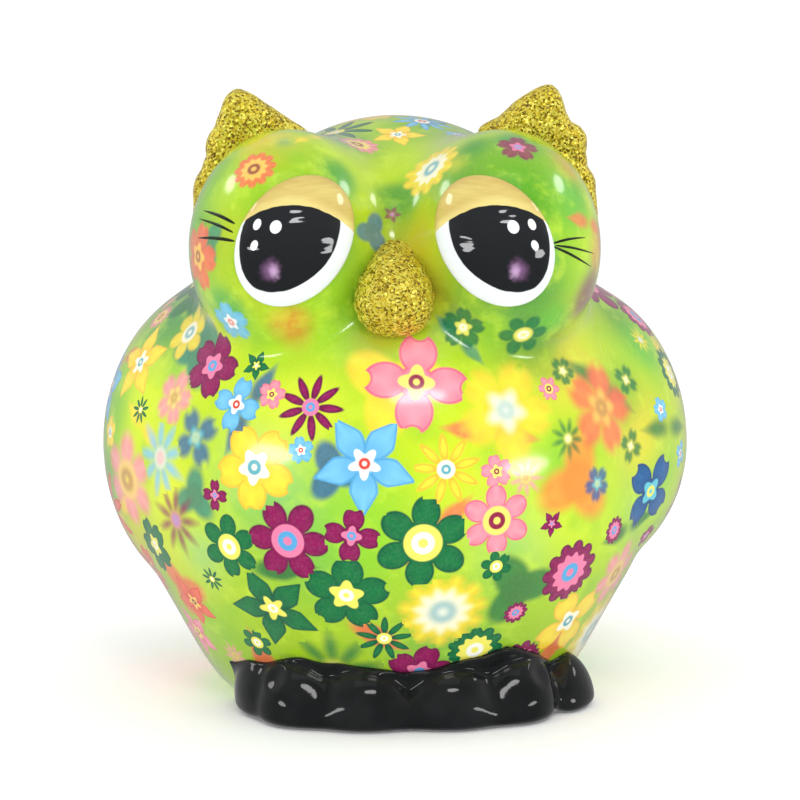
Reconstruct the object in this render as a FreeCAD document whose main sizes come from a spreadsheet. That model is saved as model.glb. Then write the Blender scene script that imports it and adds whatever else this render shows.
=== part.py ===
"""Owl money bank: a hollow glazed body with applied wings, ear tufts, eyes, beak and feet.

The bank stands on the ring under its body, with the origin at the centre of that ring's
plane. The owl looks along -Y, +Z is up, and left means the owl's own left, which is +X.
All lengths are in millimetres and all angles in degrees.
"""
import FreeCAD, Part
import Sketcher
import math
import os
import re

from FreeCAD import Placement, Rotation, Vector

# name, value, what it is
SIZES = [
    # torso: a straight flank, and two arcs that meet upright at the girth
    ("girth_radius", 70.0, "outer radius of the torso at its widest height"),
    ("girth_height", 60.0, "height of the widest part of the torso"),
    ("base_radius", 44.5, "outer radius of the torso at the table"),
    ("waist_radius", 62.2, "outer radius of the torso at the top of its straight flank"),
    ("waist_height", 30.0, "height of the top of the straight flank"),
    ("neck_radius", 16.0, "radius where the torso ends inside the head"),
    ("neck_rise", 61.0, "where the torso ends inside the head, above the girth"),
    ("base_round", 2.5, "rounding of the standing edge"),
    ("wall", 4.5, "thickness of the cast wall"),
    ("floor_top", 8.0, "height of the inside of the floor"),
    # head: a crown, two round lobes that carry the eyes, and a brow that fills the valley between them
    ("crown_half_width", 49.0, "crown, half its width"),
    ("crown_half_depth", 48.0, "crown, half its depth"),
    ("crown_half_height", 50.0, "crown, half its height"),
    ("crown_rise", 38.0, "crown's centre, above the girth"),
    ("crown_set_back", 5.0, "how far the crown's centre lies behind the axis"),
    ("lobe_half_width", 24.6, "eye lobe, half its width"),
    ("lobe_half_depth", 28.5, "eye lobe, half its depth"),
    ("lobe_half_height", 29.5, "eye lobe, half its height"),
    ("lobe_spread", 26.6, "eye lobe's centre, sideways from the axis"),
    ("lobe_inset", 36.0, "eye lobe's centre, behind the front of the belly"),
    ("lobe_rise", 19.6, "eye lobe's centre, above the crown's centre"),
    ("brow_half_width", 39.0, "brow, half its width"),
    ("brow_half_depth", 31.0, "brow, half its depth"),
    ("brow_half_height", 13.8, "brow, half its height"),
    ("brow_out", 20.3, "brow's centre, in front of the axis"),
    ("brow_rise", 30.2, "brow's centre, above the crown's centre"),
    ("brow_lean", 25.0, "how far the brow slopes down to the front"),
    # coin slot across the back of the head
    ("slot_length", 36.0, "coin slot, end to end"),
    ("slot_gap", 5.0, "coin slot, top to bottom"),
    ("slot_rise", 26.0, "coin slot's middle, above the crown's centre"),
    # underside and stopper
    ("recess_radius", 30.0, "recess in the underside that clears the stopper"),
    ("recess_depth", 3.0, "depth of that recess"),
    ("hole_radius", 17.0, "emptying hole in the floor"),
    ("plug_clearance", 0.05, "radial gap between the plug and the hole"),
    ("plug_length", 9.0, "plug, from its flange up"),
    ("plug_wall", 2.5, "wall of the hollow plug"),
    ("plug_lead", 1.2, "chamfer that leads the plug into the hole"),
    ("flange_overlap", 3.5, "how far the flange reaches past the hole"),
    ("flange_thickness", 2.0, "thickness of the flange"),
    ("grip_width", 3.0, "thickness of the finger grip across the hollow plug"),
    # wings
    ("wing_proud", 6.2, "how far a wing stands out beyond the girth"),
    ("wing_half_width", 34.2, "wing blank, half its width"),
    ("wing_half_depth", 45.0, "wing blank, half its depth"),
    ("wing_half_height", 41.4, "wing blank, half its height"),
    ("wing_set_back", 4.0, "wing blank's centre, behind the axis"),
    ("wing_rise", 3.9, "wing blank's centre, above the girth"),
    # eyes
    ("eye_half_width", 13.4, "eye, half its width across its long way"),
    ("eye_half_depth", 9.5, "eye blank, half its depth"),
    ("eye_half_height", 17.2, "eye, half its long way"),
    ("eye_tilt", 35.0, "how far the top of an eye leans towards the beak"),
    ("eye_proud", 3.0, "how far an eye stands out of its lobe"),
    ("eye_inset", 2.4, "eye's centre, towards the beak from its lobe's centre"),
    ("eye_rise", 3.3, "eye's centre, above its lobe's centre"),
    # beak: a drop with its point up, leaning back between the lobes
    ("beak_length", 29.0, "beak blank, along its own axis"),
    ("beak_radius", 9.8, "beak, radius at its thickest"),
    ("beak_fullest", 9.0, "how far up the axis the beak is thickest"),
    ("beak_end_radius", 1.2, "blunt ends of the beak"),
    ("beak_out", 27.5, "lower end of the beak, in front of the lobes' centres"),
    ("beak_drop", 16.2, "lower end of the beak, below the lobes' centres"),
    ("beak_lean", 40.0, "how far the beak leans back"),
    # ear tufts: a scalloped crest round the upper outer edge of each lobe
    ("ear_set_back", 7.0, "front face of the crest, behind the lobes' centres"),
    ("ear_thickness", 11.0, "thickness of the crest, front to back"),
    ("ear_corner_round", 1.5, "rounding of the crest's tip and notches"),
    ("ear_edge_round", 3.5, "rounding of the crest's front and back edges"),
    ("ear_scallop_radius", 8.5, "radius of each scallop"),
    ("ear_depth", 8.0, "how far the blank reaches below the lobe's surface"),
    ("ear_tip_angle", 68.0, "direction of the tip from the lobe's centre"),
    ("ear_tip_rise", 13.0, "height of the tip above the lobe's edge"),
    ("ear_inner_angle", 104.0, "where the crest starts, towards the crown"),
    ("ear_upper_angle", 57.0, "direction of the upper notch"),
    ("ear_upper_rise", 9.3, "height of the upper notch above the lobe's edge"),
    ("ear_middle_angle", 44.0, "direction of the middle notch"),
    ("ear_middle_rise", 5.6, "height of the middle notch above the lobe's edge"),
    ("ear_lower_angle", 26.0, "direction of the lower notch"),
    ("ear_lower_rise", 2.6, "height of the lower notch above the lobe's edge"),
    ("ear_outer_angle", 3.0, "where the crest ends, at the side of the head"),
    # feet: three toes each, flat underneath
    ("toe_half_depth", 12.5, "toe blank, half its depth"),
    ("toe_half_height", 12.5, "toe blank, half its height"),
    ("toe_centre_height", 4.5, "toe blank's centre, above the table"),
    ("inner_toe_half_width", 13.5, "inner toe, half its width"),
    ("inner_toe_angle", 13.2, "inner toe's direction, away from straight ahead"),
    ("inner_toe_out", 3.3, "inner toe's centre, beyond the edge of the base"),
    ("middle_toe_half_width", 11.0, "middle toe, half its width"),
    ("middle_toe_angle", 32.1, "middle toe's direction, away from straight ahead"),
    ("middle_toe_out", 4.0, "middle toe's centre, beyond the edge of the base"),
    ("outer_toe_half_width", 7.6, "outer toe, half its width"),
    ("outer_toe_angle", 48.8, "outer toe's direction, away from straight ahead"),
    ("outer_toe_out", 2.8, "outer toe's centre, beyond the edge of the base"),
]
NAMES = {name for name, value, note in SIZES}

# Centres of the torso's arcs, out from the axis. Each follows from the arc's two ends,
# because the arc is upright at the girth.
WAIST_DROP = "(girth_height - waist_height)"
LOWER_CENTRE = f"((girth_radius^2 - waist_radius^2 - {WAIST_DROP}^2) / (2 * (girth_radius - waist_radius)))"
UPPER_CENTRE = "((girth_radius^2 - neck_radius^2 - neck_rise^2) / (2 * (girth_radius - neck_radius)))"
# How far the straight flank leads outwards for every millimetre that it climbs.
FLANK = "((waist_radius - base_radius) / waist_height)"

# Where the head's pieces lie: heights above the table, and the lobes' way in front of the axis.
CROWN_HEIGHT = "(girth_height + crown_rise)"
LOBE_HEIGHT = f"({CROWN_HEIGHT} + lobe_rise)"
LOBE_REACH = "(girth_radius - lobe_inset)"

doc = FreeCAD.newDocument("owl_money_bank")
sheet = doc.addObject("Spreadsheet::Sheet", "sizes")
for row, (name, value, note) in enumerate(SIZES, start=1):
    sheet.set(f"A{row}", note)
    sheet.set(f"B{row}", str(value))
    sheet.setAlias(f"B{row}", name)
doc.recompute()


def cells(formula):
    """The formula with each size's name pointed at its cell."""
    return re.sub(r"[a-z_]+", lambda word: f"sizes.{word[0]}" if word[0] in NAMES else word[0], formula)


def number(formula):
    """The formula's value now."""
    return float(sheet.evalExpression(cells(formula)))


def bind(thing, **formulas):
    """Binds properties to formulas, where X, Y and Z are the placement's."""
    paths = {"X": "Placement.Base.x", "Y": "Placement.Base.y", "Z": "Placement.Base.z"}
    for key, formula in formulas.items():
        thing.setExpression(paths.get(key, key), cells(formula))
    return thing


def lean(thing, axis, angle):
    """Turns a solid about an axis through its own origin by a named angle."""
    thing.Placement.Rotation = Rotation(axis, number(angle))
    thing.setExpression("Placement.Rotation.Angle", cells(angle))


def part(kind, name, **formulas):
    return bind(doc.addObject(f"Part::{kind}", name), **formulas)


def ellipsoid(name, wide, deep, high, x="0", y="0", z="0"):
    """A whole ellipsoid from half its width, depth and height, and its centre."""
    solid = doc.addObject("Part::Ellipsoid", name)
    return bind(solid, Radius2=wide, Radius3=deep, Radius1=high, X=x, Y=y, Z=z)


def fuse(name, solids):
    whole = doc.addObject("Part::MultiFuse", name)
    whole.Shapes = solids
    return whole


def cut(name, base, tool):
    rest = doc.addObject("Part::Cut", name)
    rest.Base = base
    rest.Tool = tool
    return rest


def mirror(name, source):
    """The same solid on the other side of the YZ plane."""
    twin = doc.addObject("Part::Mirroring", name)
    twin.Source = source
    twin.Base = Vector(0, 0, 0)
    twin.Normal = Vector(1, 0, 0)
    return twin


def plane(body, role):
    return next(item for item in body.Origin.OriginFeatures if item.Role == role)


def sketch_on(body, role, name):
    sketch = body.newObject("Sketcher::SketchObject", name)
    sketch.AttachmentSupport = [(plane(body, role), "")]
    sketch.MapMode = "FlatFace"
    return sketch


def pin(sketch, geometry, point, x, y):
    """Holds a point at two formulas; "0" puts it on the axis."""
    for kind, formula, axis in (("DistanceX", x, -2), ("DistanceY", y, -1)):
        if formula == "0":
            sketch.addConstraint(Sketcher.Constraint("PointOnObject", geometry, point, axis))
            continue
        index = sketch.addConstraint(
            Sketcher.Constraint(kind, -1, 1, geometry, point, number(formula)))
        sketch.setExpression(f"Constraints[{index}]", cells(formula))


def arc_geometry(start, end, centre):
    """The arc of less than half a turn about the centre, which Sketcher keeps anticlockwise."""
    circle = Part.Circle(centre, Vector(0, 0, 1), (start - centre).Length)
    first = math.atan2(start.y - centre.y, start.x - centre.x)
    last = math.atan2(end.y - centre.y, end.x - centre.x)
    if (start - centre).cross(end - centre).z < 0:
        first, last = last, first
    return Part.ArcOfCircle(circle, first, last)


def outline(sketch, corners, edges):
    """Draws a closed outline.

    corners holds a pair of formulas each. edges holds, for the edge that leaves each corner:
    None for a straight line, ("radius", formula) for an arc that bulges outwards on an
    anticlockwise outline, or ("level", corner) for an arc with its centre level with that corner.
    """
    at = [Vector(number(x), number(y), 0) for x, y in corners]
    ends = []
    for index, edge in enumerate(edges):
        start, end = at[index], at[(index + 1) % len(at)]
        chord = end - start
        if edge is None:
            geometry = Part.LineSegment(start, end)
        elif edge[0] == "radius":
            radius = number(edge[1])
            inwards = Vector(-chord.y, chord.x, 0).normalize()
            centre = (start + end) / 2 + inwards * math.sqrt(radius**2 - chord.Length**2 / 4)
            geometry = arc_geometry(start, end, centre)
        else:
            level, other = at[edge[1]], end if edge[1] == index else start
            rise = other.y - level.y
            across = (level.x**2 - other.x**2 - rise**2) / (2 * (level.x - other.x))
            geometry = arc_geometry(start, end, Vector(across, level.y, 0))
        number_in_sketch = sketch.addGeometry(geometry, False)
        drawn = sketch.Geometry[number_in_sketch]
        starts_first = (drawn.StartPoint - start).Length < (drawn.EndPoint - start).Length
        ends.append((number_in_sketch, 1, 2) if starts_first else (number_in_sketch, 2, 1))
    for index, (geometry, first, last) in enumerate(ends):
        following = ends[(index + 1) % len(ends)]
        sketch.addConstraint(
            Sketcher.Constraint("Coincident", geometry, last, following[0], following[1]))
        pin(sketch, geometry, first, *corners[index])
        if edges[index] is not None and edges[index][0] == "radius":
            held = sketch.addConstraint(
                Sketcher.Constraint("Radius", geometry, number(edges[index][1])))
            sketch.setExpression(f"Constraints[{held}]", cells(edges[index][1]))
        elif edges[index] is not None:
            point = first if edges[index][1] == index else last
            sketch.addConstraint(Sketcher.Constraint("Horizontal", geometry, 3, geometry, point))


def turned(name, corners, edges):
    """A body turned about its own Z axis from an outline in its XZ plane."""
    body = doc.addObject("PartDesign::Body", name)
    sketch = sketch_on(body, "XZ_Plane", f"{name}_outline")
    outline(sketch, corners, edges)
    turn = body.newObject("PartDesign::Revolution", f"{name}_turn")
    turn.Profile = sketch
    turn.ReferenceAxis = (sketch, ["V_Axis"])
    turn.Angle = 360
    doc.recompute()
    return body


def bulb(name, base, girth, top, waist=None):
    """A turned body of two arcs, the lower one on a straight flank where there is a waist.

    base, waist, girth and top are pairs of radius and height.
    """
    flank = [base] if waist is None else [base, waist]
    corners = [("0", base[1]), *flank, girth, top, ("0", top[1])]
    arc = ("level", corners.index(girth))
    edges = [None] * len(flank) + [arc, arc, None, None]
    return turned(name, corners, edges)


def make_brow(name, thinner="0"):
    """The brow, drawn in all round by a thickness."""
    brow = ellipsoid(name, f"brow_half_width - {thinner}", f"brow_half_depth - {thinner}",
                     f"brow_half_height - {thinner}", y="-brow_out", z=f"{CROWN_HEIGHT} + brow_rise")
    lean(brow, Vector(1, 0, 0), "brow_lean")
    return brow


def make_form():
    """The body's outer form before anything is applied to it: torso, crown, brow and two lobes."""
    torso = bulb("torso", ("base_radius", "0"), ("girth_radius", "girth_height"),
                 ("neck_radius", "girth_height + neck_rise"), ("waist_radius", "waist_height"))
    turn = torso.Tip
    rounded = torso.newObject("PartDesign::Fillet", "standing_edge")
    rounded.Base = (turn, [circle_at(turn.Shape, 0)])
    bind(rounded, Radius="base_round")
    crown = ellipsoid("crown", "crown_half_width", "crown_half_depth", "crown_half_height",
                      y="crown_set_back", z=CROWN_HEIGHT)
    lobe = ellipsoid("lobe", "lobe_half_width", "lobe_half_depth", "lobe_half_height",
                     x="lobe_spread", y=f"-{LOBE_REACH}", z=LOBE_HEIGHT)
    return fuse("outer_form", [torso, crown, make_brow("brow"), lobe, mirror("lobe_twin", lobe)])


def circle_at(shape, height):
    """The name of the round edge that lies flat at a height."""
    for index, edge in enumerate(shape.Edges, start=1):
        box = edge.BoundBox
        if abs(box.ZMin - height) + abs(box.ZMax - height) < 1e-4 and box.XLength > 1:
            return f"Edge{index}"
    raise ValueError(f"no round edge at {height}")


def edges_along_y(shape):
    """The names of the straight edges that run front to back."""
    return [f"Edge{index}" for index, edge in enumerate(shape.Edges, start=1)
            if abs(edge.tangentAt(edge.FirstParameter).y) > 0.999]


def faces_across_y(shape):
    """The names of the flat faces that look forwards or backwards."""
    return [f"Face{index}" for index, face in enumerate(shape.Faces, start=1)
            if abs(face.normalAt(0, 0).y) > 0.999 and isinstance(face.Surface, Part.Plane)]


def make_cavity():
    """The hollow inside: every outer shape drawn in by the wall."""
    inwards = f"wall / (girth_radius - {LOWER_CENTRE})"
    upper_reach = f"((girth_radius - {UPPER_CENTRE} - wall)^2 - (neck_radius - {UPPER_CENTRE})^2)"
    torso = bulb("torso_cavity",
                 (f"base_radius + {FLANK} * floor_top - wall * sqrt(1 + {FLANK}^2)", "floor_top"),
                 ("girth_radius - wall", "girth_height"),
                 ("neck_radius", f"girth_height + sqrt({upper_reach})"),
                 (f"waist_radius - {inwards} * (waist_radius - {LOWER_CENTRE})",
                  f"waist_height + {inwards} * {WAIST_DROP}"))
    crown = ellipsoid("crown_cavity", "crown_half_width - wall", "crown_half_depth - wall",
                      "crown_half_height - wall", y="crown_set_back", z=CROWN_HEIGHT)
    lobe = ellipsoid("lobe_cavity", "lobe_half_width - wall", "lobe_half_depth - wall",
                     "lobe_half_height - wall", x="lobe_spread", y=f"-{LOBE_REACH}", z=LOBE_HEIGHT)
    brow = make_brow("brow_cavity", "wall")
    return fuse("cavity", [torso, crown, brow, lobe, mirror("lobe_cavity_twin", lobe)])


def make_openings():
    """Cutters for the coin slot, the recess in the underside and the emptying hole."""
    slot_z = f"{CROWN_HEIGHT} + slot_rise"
    slot_way = "crown_half_depth + wall"
    slot = part("Box", "slot_middle", Length="slot_length - slot_gap", Width=slot_way, Height="slot_gap",
                X="(slot_gap - slot_length) / 2", Y="crown_set_back", Z=f"{slot_z} - slot_gap / 2")
    slot_end = doc.addObject("Part::Cylinder", "slot_end")
    slot_end.Placement = Placement(Vector(), Rotation(Vector(1, 0, 0), -90))
    bind(slot_end, Radius="slot_gap / 2", Height=slot_way,
         X="(slot_length - slot_gap) / 2", Y="crown_set_back", Z=slot_z)
    recess = part("Cylinder", "recess", Radius="recess_radius", Height="recess_depth")
    hole = part("Cylinder", "hole", Radius="hole_radius", Height="floor_top")
    return fuse("openings", [slot, slot_end, mirror("slot_end_twin", slot_end), recess, hole])


def make_wing(form):
    """A lens that lies on the side of the body and runs out to nothing at its edge."""
    blank = ellipsoid("wing_blank", "wing_half_width", "wing_half_depth", "wing_half_height",
                      x="girth_radius + wing_proud - wing_half_width", y="wing_set_back",
                      z="girth_height + wing_rise")
    return cut("wing_left", blank, form)


def make_eye(form):
    """A shallow dome on the front of its lobe."""
    blank = ellipsoid("eye_blank", "eye_half_width", "eye_half_depth", "eye_half_height",
                      x="lobe_spread - eye_inset",
                      y=f"eye_half_depth - {LOBE_REACH} - lobe_half_depth - eye_proud",
                      z=f"{LOBE_HEIGHT} + eye_rise")
    lean(blank, Vector(0, -1, 0), "eye_tilt")
    return cut("eye_left", blank, form)


def make_beak(form):
    """A drop that leans back into the valley between the lobes."""
    blank = bulb("beak_blank", ("beak_end_radius", "0"), ("beak_radius", "beak_fullest"),
                 ("beak_end_radius", "beak_length"))
    bind(blank, Y=f"-{LOBE_REACH} - beak_out", Z=f"{LOBE_HEIGHT} - beak_drop")
    lean(blank, Vector(-1, 0, 0), "beak_lean")
    return cut("beak", blank, form)


def crest_point(angle, rise):
    """A corner of the crest, given by its direction from the lobe's centre and its rise over the edge."""
    return (f"lobe_spread + (lobe_half_width + {rise}) * cos({angle} * 1deg)",
            f"{LOBE_HEIGHT} + (lobe_half_height + {rise}) * sin({angle} * 1deg)")


def make_ear(form):
    """A crest with a pointed tip and a scalloped outer edge, bedded on the lobe and the crown."""
    body = doc.addObject("PartDesign::Body", "ear_blank")
    sketch = sketch_on(body, "XZ_Plane", "ear_outline")
    scallop = ("radius", "ear_scallop_radius")
    corners = [
        crest_point("ear_outer_angle", "0"),
        crest_point("ear_lower_angle", "ear_lower_rise"),
        crest_point("ear_middle_angle", "ear_middle_rise"),
        crest_point("ear_upper_angle", "ear_upper_rise"),
        crest_point("ear_tip_angle", "ear_tip_rise"),
        crest_point("ear_inner_angle", "0"),
        crest_point("ear_tip_angle", "-ear_depth"),
    ]
    outline(sketch, corners, [scallop, scallop, scallop, scallop, None, None, None])
    pad = body.newObject("PartDesign::Pad", "crest")
    pad.Profile = sketch
    bind(pad, Length="ear_thickness")
    pad.Reversed = True
    doc.recompute()
    corners_round = body.newObject("PartDesign::Fillet", "crest_corners")
    corners_round.Base = (pad, edges_along_y(pad.Shape))
    bind(corners_round, Radius="ear_corner_round")
    doc.recompute()
    edges_round = body.newObject("PartDesign::Fillet", "crest_edges")
    edges_round.Base = (corners_round, faces_across_y(corners_round.Shape))
    bind(edges_round, Radius="ear_edge_round")
    bind(body, Y=f"ear_set_back - {LOBE_REACH}")
    return cut("ear_tuft_left", body, form)


def make_foot(form):
    """Three rounded toes, cut flat at the table and against the body."""
    toes = [
        ellipsoid(f"{toe}_toe", f"{toe}_toe_half_width", "toe_half_depth", "toe_half_height",
                  x=f"(base_radius + {toe}_toe_out) * sin({toe}_toe_angle * 1deg)",
                  y=f"-(base_radius + {toe}_toe_out) * cos({toe}_toe_angle * 1deg)",
                  z="toe_centre_height")
        for toe in ("inner", "middle", "outer")
    ]
    room = part("Box", "foot_room", Length="2 * girth_radius", Width="2 * girth_radius",
                Height="girth_height", Y="-2 * girth_radius")
    upper = doc.addObject("Part::MultiCommon", "toes_over_table")
    upper.Shapes = [fuse("toes", toes), room]
    return cut("foot_left", upper, form)


def make_stopper():
    """A hollow rubber plug with a flange under the floor and a grip for two fingers."""
    body = doc.addObject("PartDesign::Body", "stopper_body")
    sketch = sketch_on(body, "XZ_Plane", "stopper_outline")
    flange_radius = "hole_radius + flange_overlap"
    plug_radius = "hole_radius - plug_clearance"
    under, seat = "recess_depth - flange_thickness", "recess_depth"
    top = "recess_depth + plug_length"
    corners = [
        (f"{plug_radius} - plug_wall", under), (flange_radius, under), (flange_radius, seat),
        (plug_radius, seat), (plug_radius, f"{top} - plug_lead"), (f"{plug_radius} - plug_lead", top),
        ("0", top), ("0", f"{top} - plug_wall"), (f"{plug_radius} - plug_wall", f"{top} - plug_wall"),
    ]
    outline(sketch, corners, [None] * len(corners))
    cup = body.newObject("PartDesign::Revolution", "cup")
    cup.Profile = sketch
    cup.ReferenceAxis = (sketch, ["V_Axis"])
    cup.Angle = 360
    doc.recompute()
    bar = part("Box", "grip_bar", Length=f"2 * ({plug_radius} - plug_wall / 2)", Width="grip_width",
               Height="plug_length + flange_thickness - plug_wall / 2",
               X=f"plug_wall / 2 - ({plug_radius})", Y="-grip_width / 2", Z=under)
    return fuse("stopper", [body, bar])


def check_and_write(nodes):
    """Stops on any failed object, then writes one STEP file per node."""
    doc.recompute()
    for thing in doc.Objects:
        if {"Invalid", "Error"} & set(thing.State):
            raise RuntimeError(f"{thing.Name} failed: {thing.State}")
    for node in nodes:
        if node.Shape.isNull() or not node.Shape.isValid():
            raise RuntimeError(f"{node.Label} has no valid shape")
    os.makedirs("parts", exist_ok=True)
    for node in nodes:
        node.Shape.exportStep(f"parts/{node.Label}.step")
        box = node.Shape.optimalBoundingBox(False, False)
        print(f"{node.Label:16s} {len(node.Shape.Solids)} solid(s) {node.Shape.Volume / 1000:8.2f} cm3"
              f"  x {box.XMin:7.2f} {box.XMax:7.2f}  y {box.YMin:7.2f} {box.YMax:7.2f}"
              f"  z {box.ZMin:7.2f} {box.ZMax:7.2f}")


outer_form = make_form()
hollow = cut("hollow_form", outer_form, make_cavity())
nodes = [cut("body_shell", hollow, make_openings()), make_beak(outer_form), make_stopper()]
for make, twin in ((make_wing, "wing_right"), (make_eye, "eye_right"),
                   (make_ear, "ear_tuft_right"), (make_foot, "foot_right")):
    left = make(outer_form)
    nodes += [left, mirror(twin, left)]
check_and_write(nodes)
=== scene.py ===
"""Owl money bank, dressed: glazed body with flower transfers, painted eyes, glitter and rubber.

Sizes and places in this file are millimetres in the part's own frame, and write_mesh turns them
into metres. The owl looks along -Y, +X is its own left and +Z is up. Each piece is a closed skin
worked out on a grid of two parameters.
"""
import logging
import math
from dataclasses import dataclass, field
from enum import Enum
from typing import Callable

import bpy
import numpy as np
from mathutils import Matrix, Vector


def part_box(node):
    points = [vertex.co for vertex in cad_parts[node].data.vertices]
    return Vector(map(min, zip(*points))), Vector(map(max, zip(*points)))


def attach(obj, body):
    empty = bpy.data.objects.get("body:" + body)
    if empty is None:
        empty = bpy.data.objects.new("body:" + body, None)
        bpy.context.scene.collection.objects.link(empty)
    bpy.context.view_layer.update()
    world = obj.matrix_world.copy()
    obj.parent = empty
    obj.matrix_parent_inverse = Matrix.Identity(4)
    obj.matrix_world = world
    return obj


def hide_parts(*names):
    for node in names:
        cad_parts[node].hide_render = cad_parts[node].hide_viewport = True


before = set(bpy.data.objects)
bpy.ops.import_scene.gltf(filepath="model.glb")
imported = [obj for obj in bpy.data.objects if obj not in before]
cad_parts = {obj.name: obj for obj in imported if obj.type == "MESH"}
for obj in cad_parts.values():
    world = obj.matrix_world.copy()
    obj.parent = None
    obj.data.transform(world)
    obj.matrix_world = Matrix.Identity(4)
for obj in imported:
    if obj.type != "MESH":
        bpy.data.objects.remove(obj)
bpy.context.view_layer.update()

Array = np.ndarray
Field = Callable[[Array], Array]
Point = tuple[float, float, float]
Pair = tuple[float, float]
Tint = tuple[int, int, int]
Numbers = tuple[float, ...]
Skin = tuple[Array, Array, Array]
Node = bpy.types.Node
Socket = bpy.types.NodeSocket
Outputs = bpy.types.NodeOutputs
Given = Socket | float | tuple

MM = 0.001
OWL = "owl"
STOPPER = "stopper"
UP = np.array([0.0, 0.0, 1.0])
GOLDEN_TURN = math.pi * (3 - math.sqrt(5))
REACH = 110
log = logging.getLogger("owl_bank")


class Side(Enum):
    """The owl's own sides, by the sign of x."""

    LEFT = 1
    RIGHT = -1

    @property
    def label(self) -> str:
        """The side as a node's name has it."""
        return self.name.lower()


def cad_box(node: str) -> tuple[Array, Array]:
    """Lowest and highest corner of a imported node, in millimetres."""
    low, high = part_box(node)
    return np.array(low) / MM, np.array(high) / MM


def unit(vectors: Array) -> Array:
    """The vectors divided by their lengths."""
    return vectors / np.maximum(np.linalg.norm(vectors, axis=-1, keepdims=True), 1e-12)


def linear(colour: Tint) -> Point:
    """A screen colour as linear light: ((c + 0.055) / 1.055) to the power 2.4.

    Args:
        colour: Red, green and blue, 0 to 255.

    Returns:
        Red, green and blue light, 0 to 1.
    """
    share = np.asarray(colour, float) / 255
    light = np.where(share <= 0.04045, share / 12.92, ((share + 0.055) / 1.055) ** 2.4)
    return tuple(float(v) for v in light)


# --- forms ---------------------------------


@dataclass(frozen=True)
class Ellipsoid:
    """An ellipsoid, or its two mirror images, with squareness 2 for round and more for boxy."""

    centre: Point
    half: Point
    square: float = 2.0
    twin: bool = False

    def __call__(self, points: Array) -> Array:
        """Nearly the distance to the surface: k (k - 1) / m.

        k is the length of the point over the half sizes and m the length of that over the half
        sizes once more. Lengths are the p-th root of the sum of p-th powers, p the squareness.

        Args:
            points: Places to read, last axis x, y, z.

        Returns:
            A distance each, below 0 inside.
        """
        if self.twin:
            points = np.concatenate([np.abs(points[..., :1]), points[..., 1:]], axis=-1)
        across = np.abs((points - self.centre) / self.half)
        k = np.sum(across**self.square, axis=-1) ** (1 / self.square)
        m = np.sum((across / self.half) ** 2, axis=-1) ** 0.5
        return k * (k - 1) / np.maximum(m, 1e-9)


def melt(a: Array, b: Array, width: float | Array) -> Array:
    """Two distances joined with a soft valley: the lesser, less h squared times a quarter of the width.

    h is 1 where the two are equal and 0 where they differ by the width or more.
    """
    h = np.maximum(width - np.abs(a - b), 0) / width
    return np.minimum(a, b) - h * h * width / 4


def trim(a: Array, b: Array, radius: float) -> Array:
    """What is inside both, with the edge between them rounded to the radius."""
    over = np.hypot(np.maximum(a + radius, 0), np.maximum(b + radius, 0))
    return np.minimum(-radius, np.maximum(a, b)) + over


def outermost(shape: Field, origins: Array, directions: Array, far: float, steps: int = 40) -> Array:
    """How far along each direction the shape's surface is last crossed, or 0 where it isn't.

    The shape is read at even steps. The last step that lies inside is found, and 18 halvings of
    the step after it close in on the surface.

    Args:
        shape: Below 0 inside.
        origins: Where the directions start.
        directions: Unit vectors.
        far: How far to look.
        steps: Into how many steps that is divided.

    Returns:
        A distance for each direction.
    """
    origins = np.broadcast_to(origins, directions.shape)
    reach = np.linspace(0, far, steps + 1)
    inside = np.stack([shape(origins + directions * r) < 0 for r in reach])
    last = steps - np.argmax(inside[::-1], axis=0)
    hit = inside.any(axis=0)
    low = np.where(hit, reach[last], 0.0)
    high = low + far / steps
    for _ in range(18):
        middle = (low + high) / 2
        within = shape(origins + directions * middle[..., None]) < 0
        low, high = np.where(within, middle, low), np.where(within, high, middle)
    return np.where(hit, (low + high) / 2, 0.0)


def slope(shape: Field, points: Array, step: float = 0.05) -> Array:
    """The outward normals of a shape at points on it, from central differences.

    Args:
        shape: Below 0 inside.
        points: Places on its surface.
        step: Half the distance over which the difference is taken.

    Returns:
        A unit vector for each point.
    """
    parts = []
    for axis in range(3):
        shift = np.zeros(3)
        shift[axis] = step
        parts.append(shape(points + shift) - shape(points - shift))
    return unit(np.stack(parts, axis=-1))


def smooth_step(value: Array, start: float, end: float) -> Array:
    """0 before start, 1 after end, and 3 t squared less 2 t cubed between them."""
    t = np.clip((value - start) / (end - start), 0, 1)
    return t * t * (3 - 2 * t)


# --- meshes --------------------------------


def write_mesh(name: str, points: Array, corners: Array, sizes: Array) -> bpy.types.Object:
    """Puts a mesh into the scene, smooth, with its faces outwards.

    Args:
        name: The object's name.
        points: Vertices in millimetres.
        corners: Vertex numbers, face after face.
        sizes: How many corners each face has.

    Returns:
        The new object.
    """
    starts = np.concatenate([[0], np.cumsum(sizes)[:-1]])
    a, b, c = (points[corners[starts + k]] for k in range(3))
    volume = np.einsum("ij,ij->i", a, np.cross(b, c)).sum()
    quads = sizes == 4
    d = points[corners[starts[quads] + 3]]
    volume += np.einsum("ij,ij->i", a[quads], np.cross(c[quads], d)).sum()
    if volume < 0:
        ends = np.repeat(starts + sizes, sizes)
        corners = corners[ends - 1 - (np.arange(len(corners)) - np.repeat(starts, sizes))]
    mesh = bpy.data.meshes.new(name)
    mesh.vertices.add(len(points))
    mesh.vertices.foreach_set("co", (points * MM).astype(np.float32).ravel())
    mesh.loops.add(len(corners))
    mesh.loops.foreach_set("vertex_index", corners.astype(np.int32))
    mesh.polygons.add(len(sizes))
    mesh.polygons.foreach_set("loop_start", starts.astype(np.int32))
    mesh.update(calc_edges=True)
    mesh.validate()
    mesh.shade_smooth()
    piece = bpy.data.objects.new(name, mesh)
    bpy.context.scene.collection.objects.link(piece)
    return piece


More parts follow.
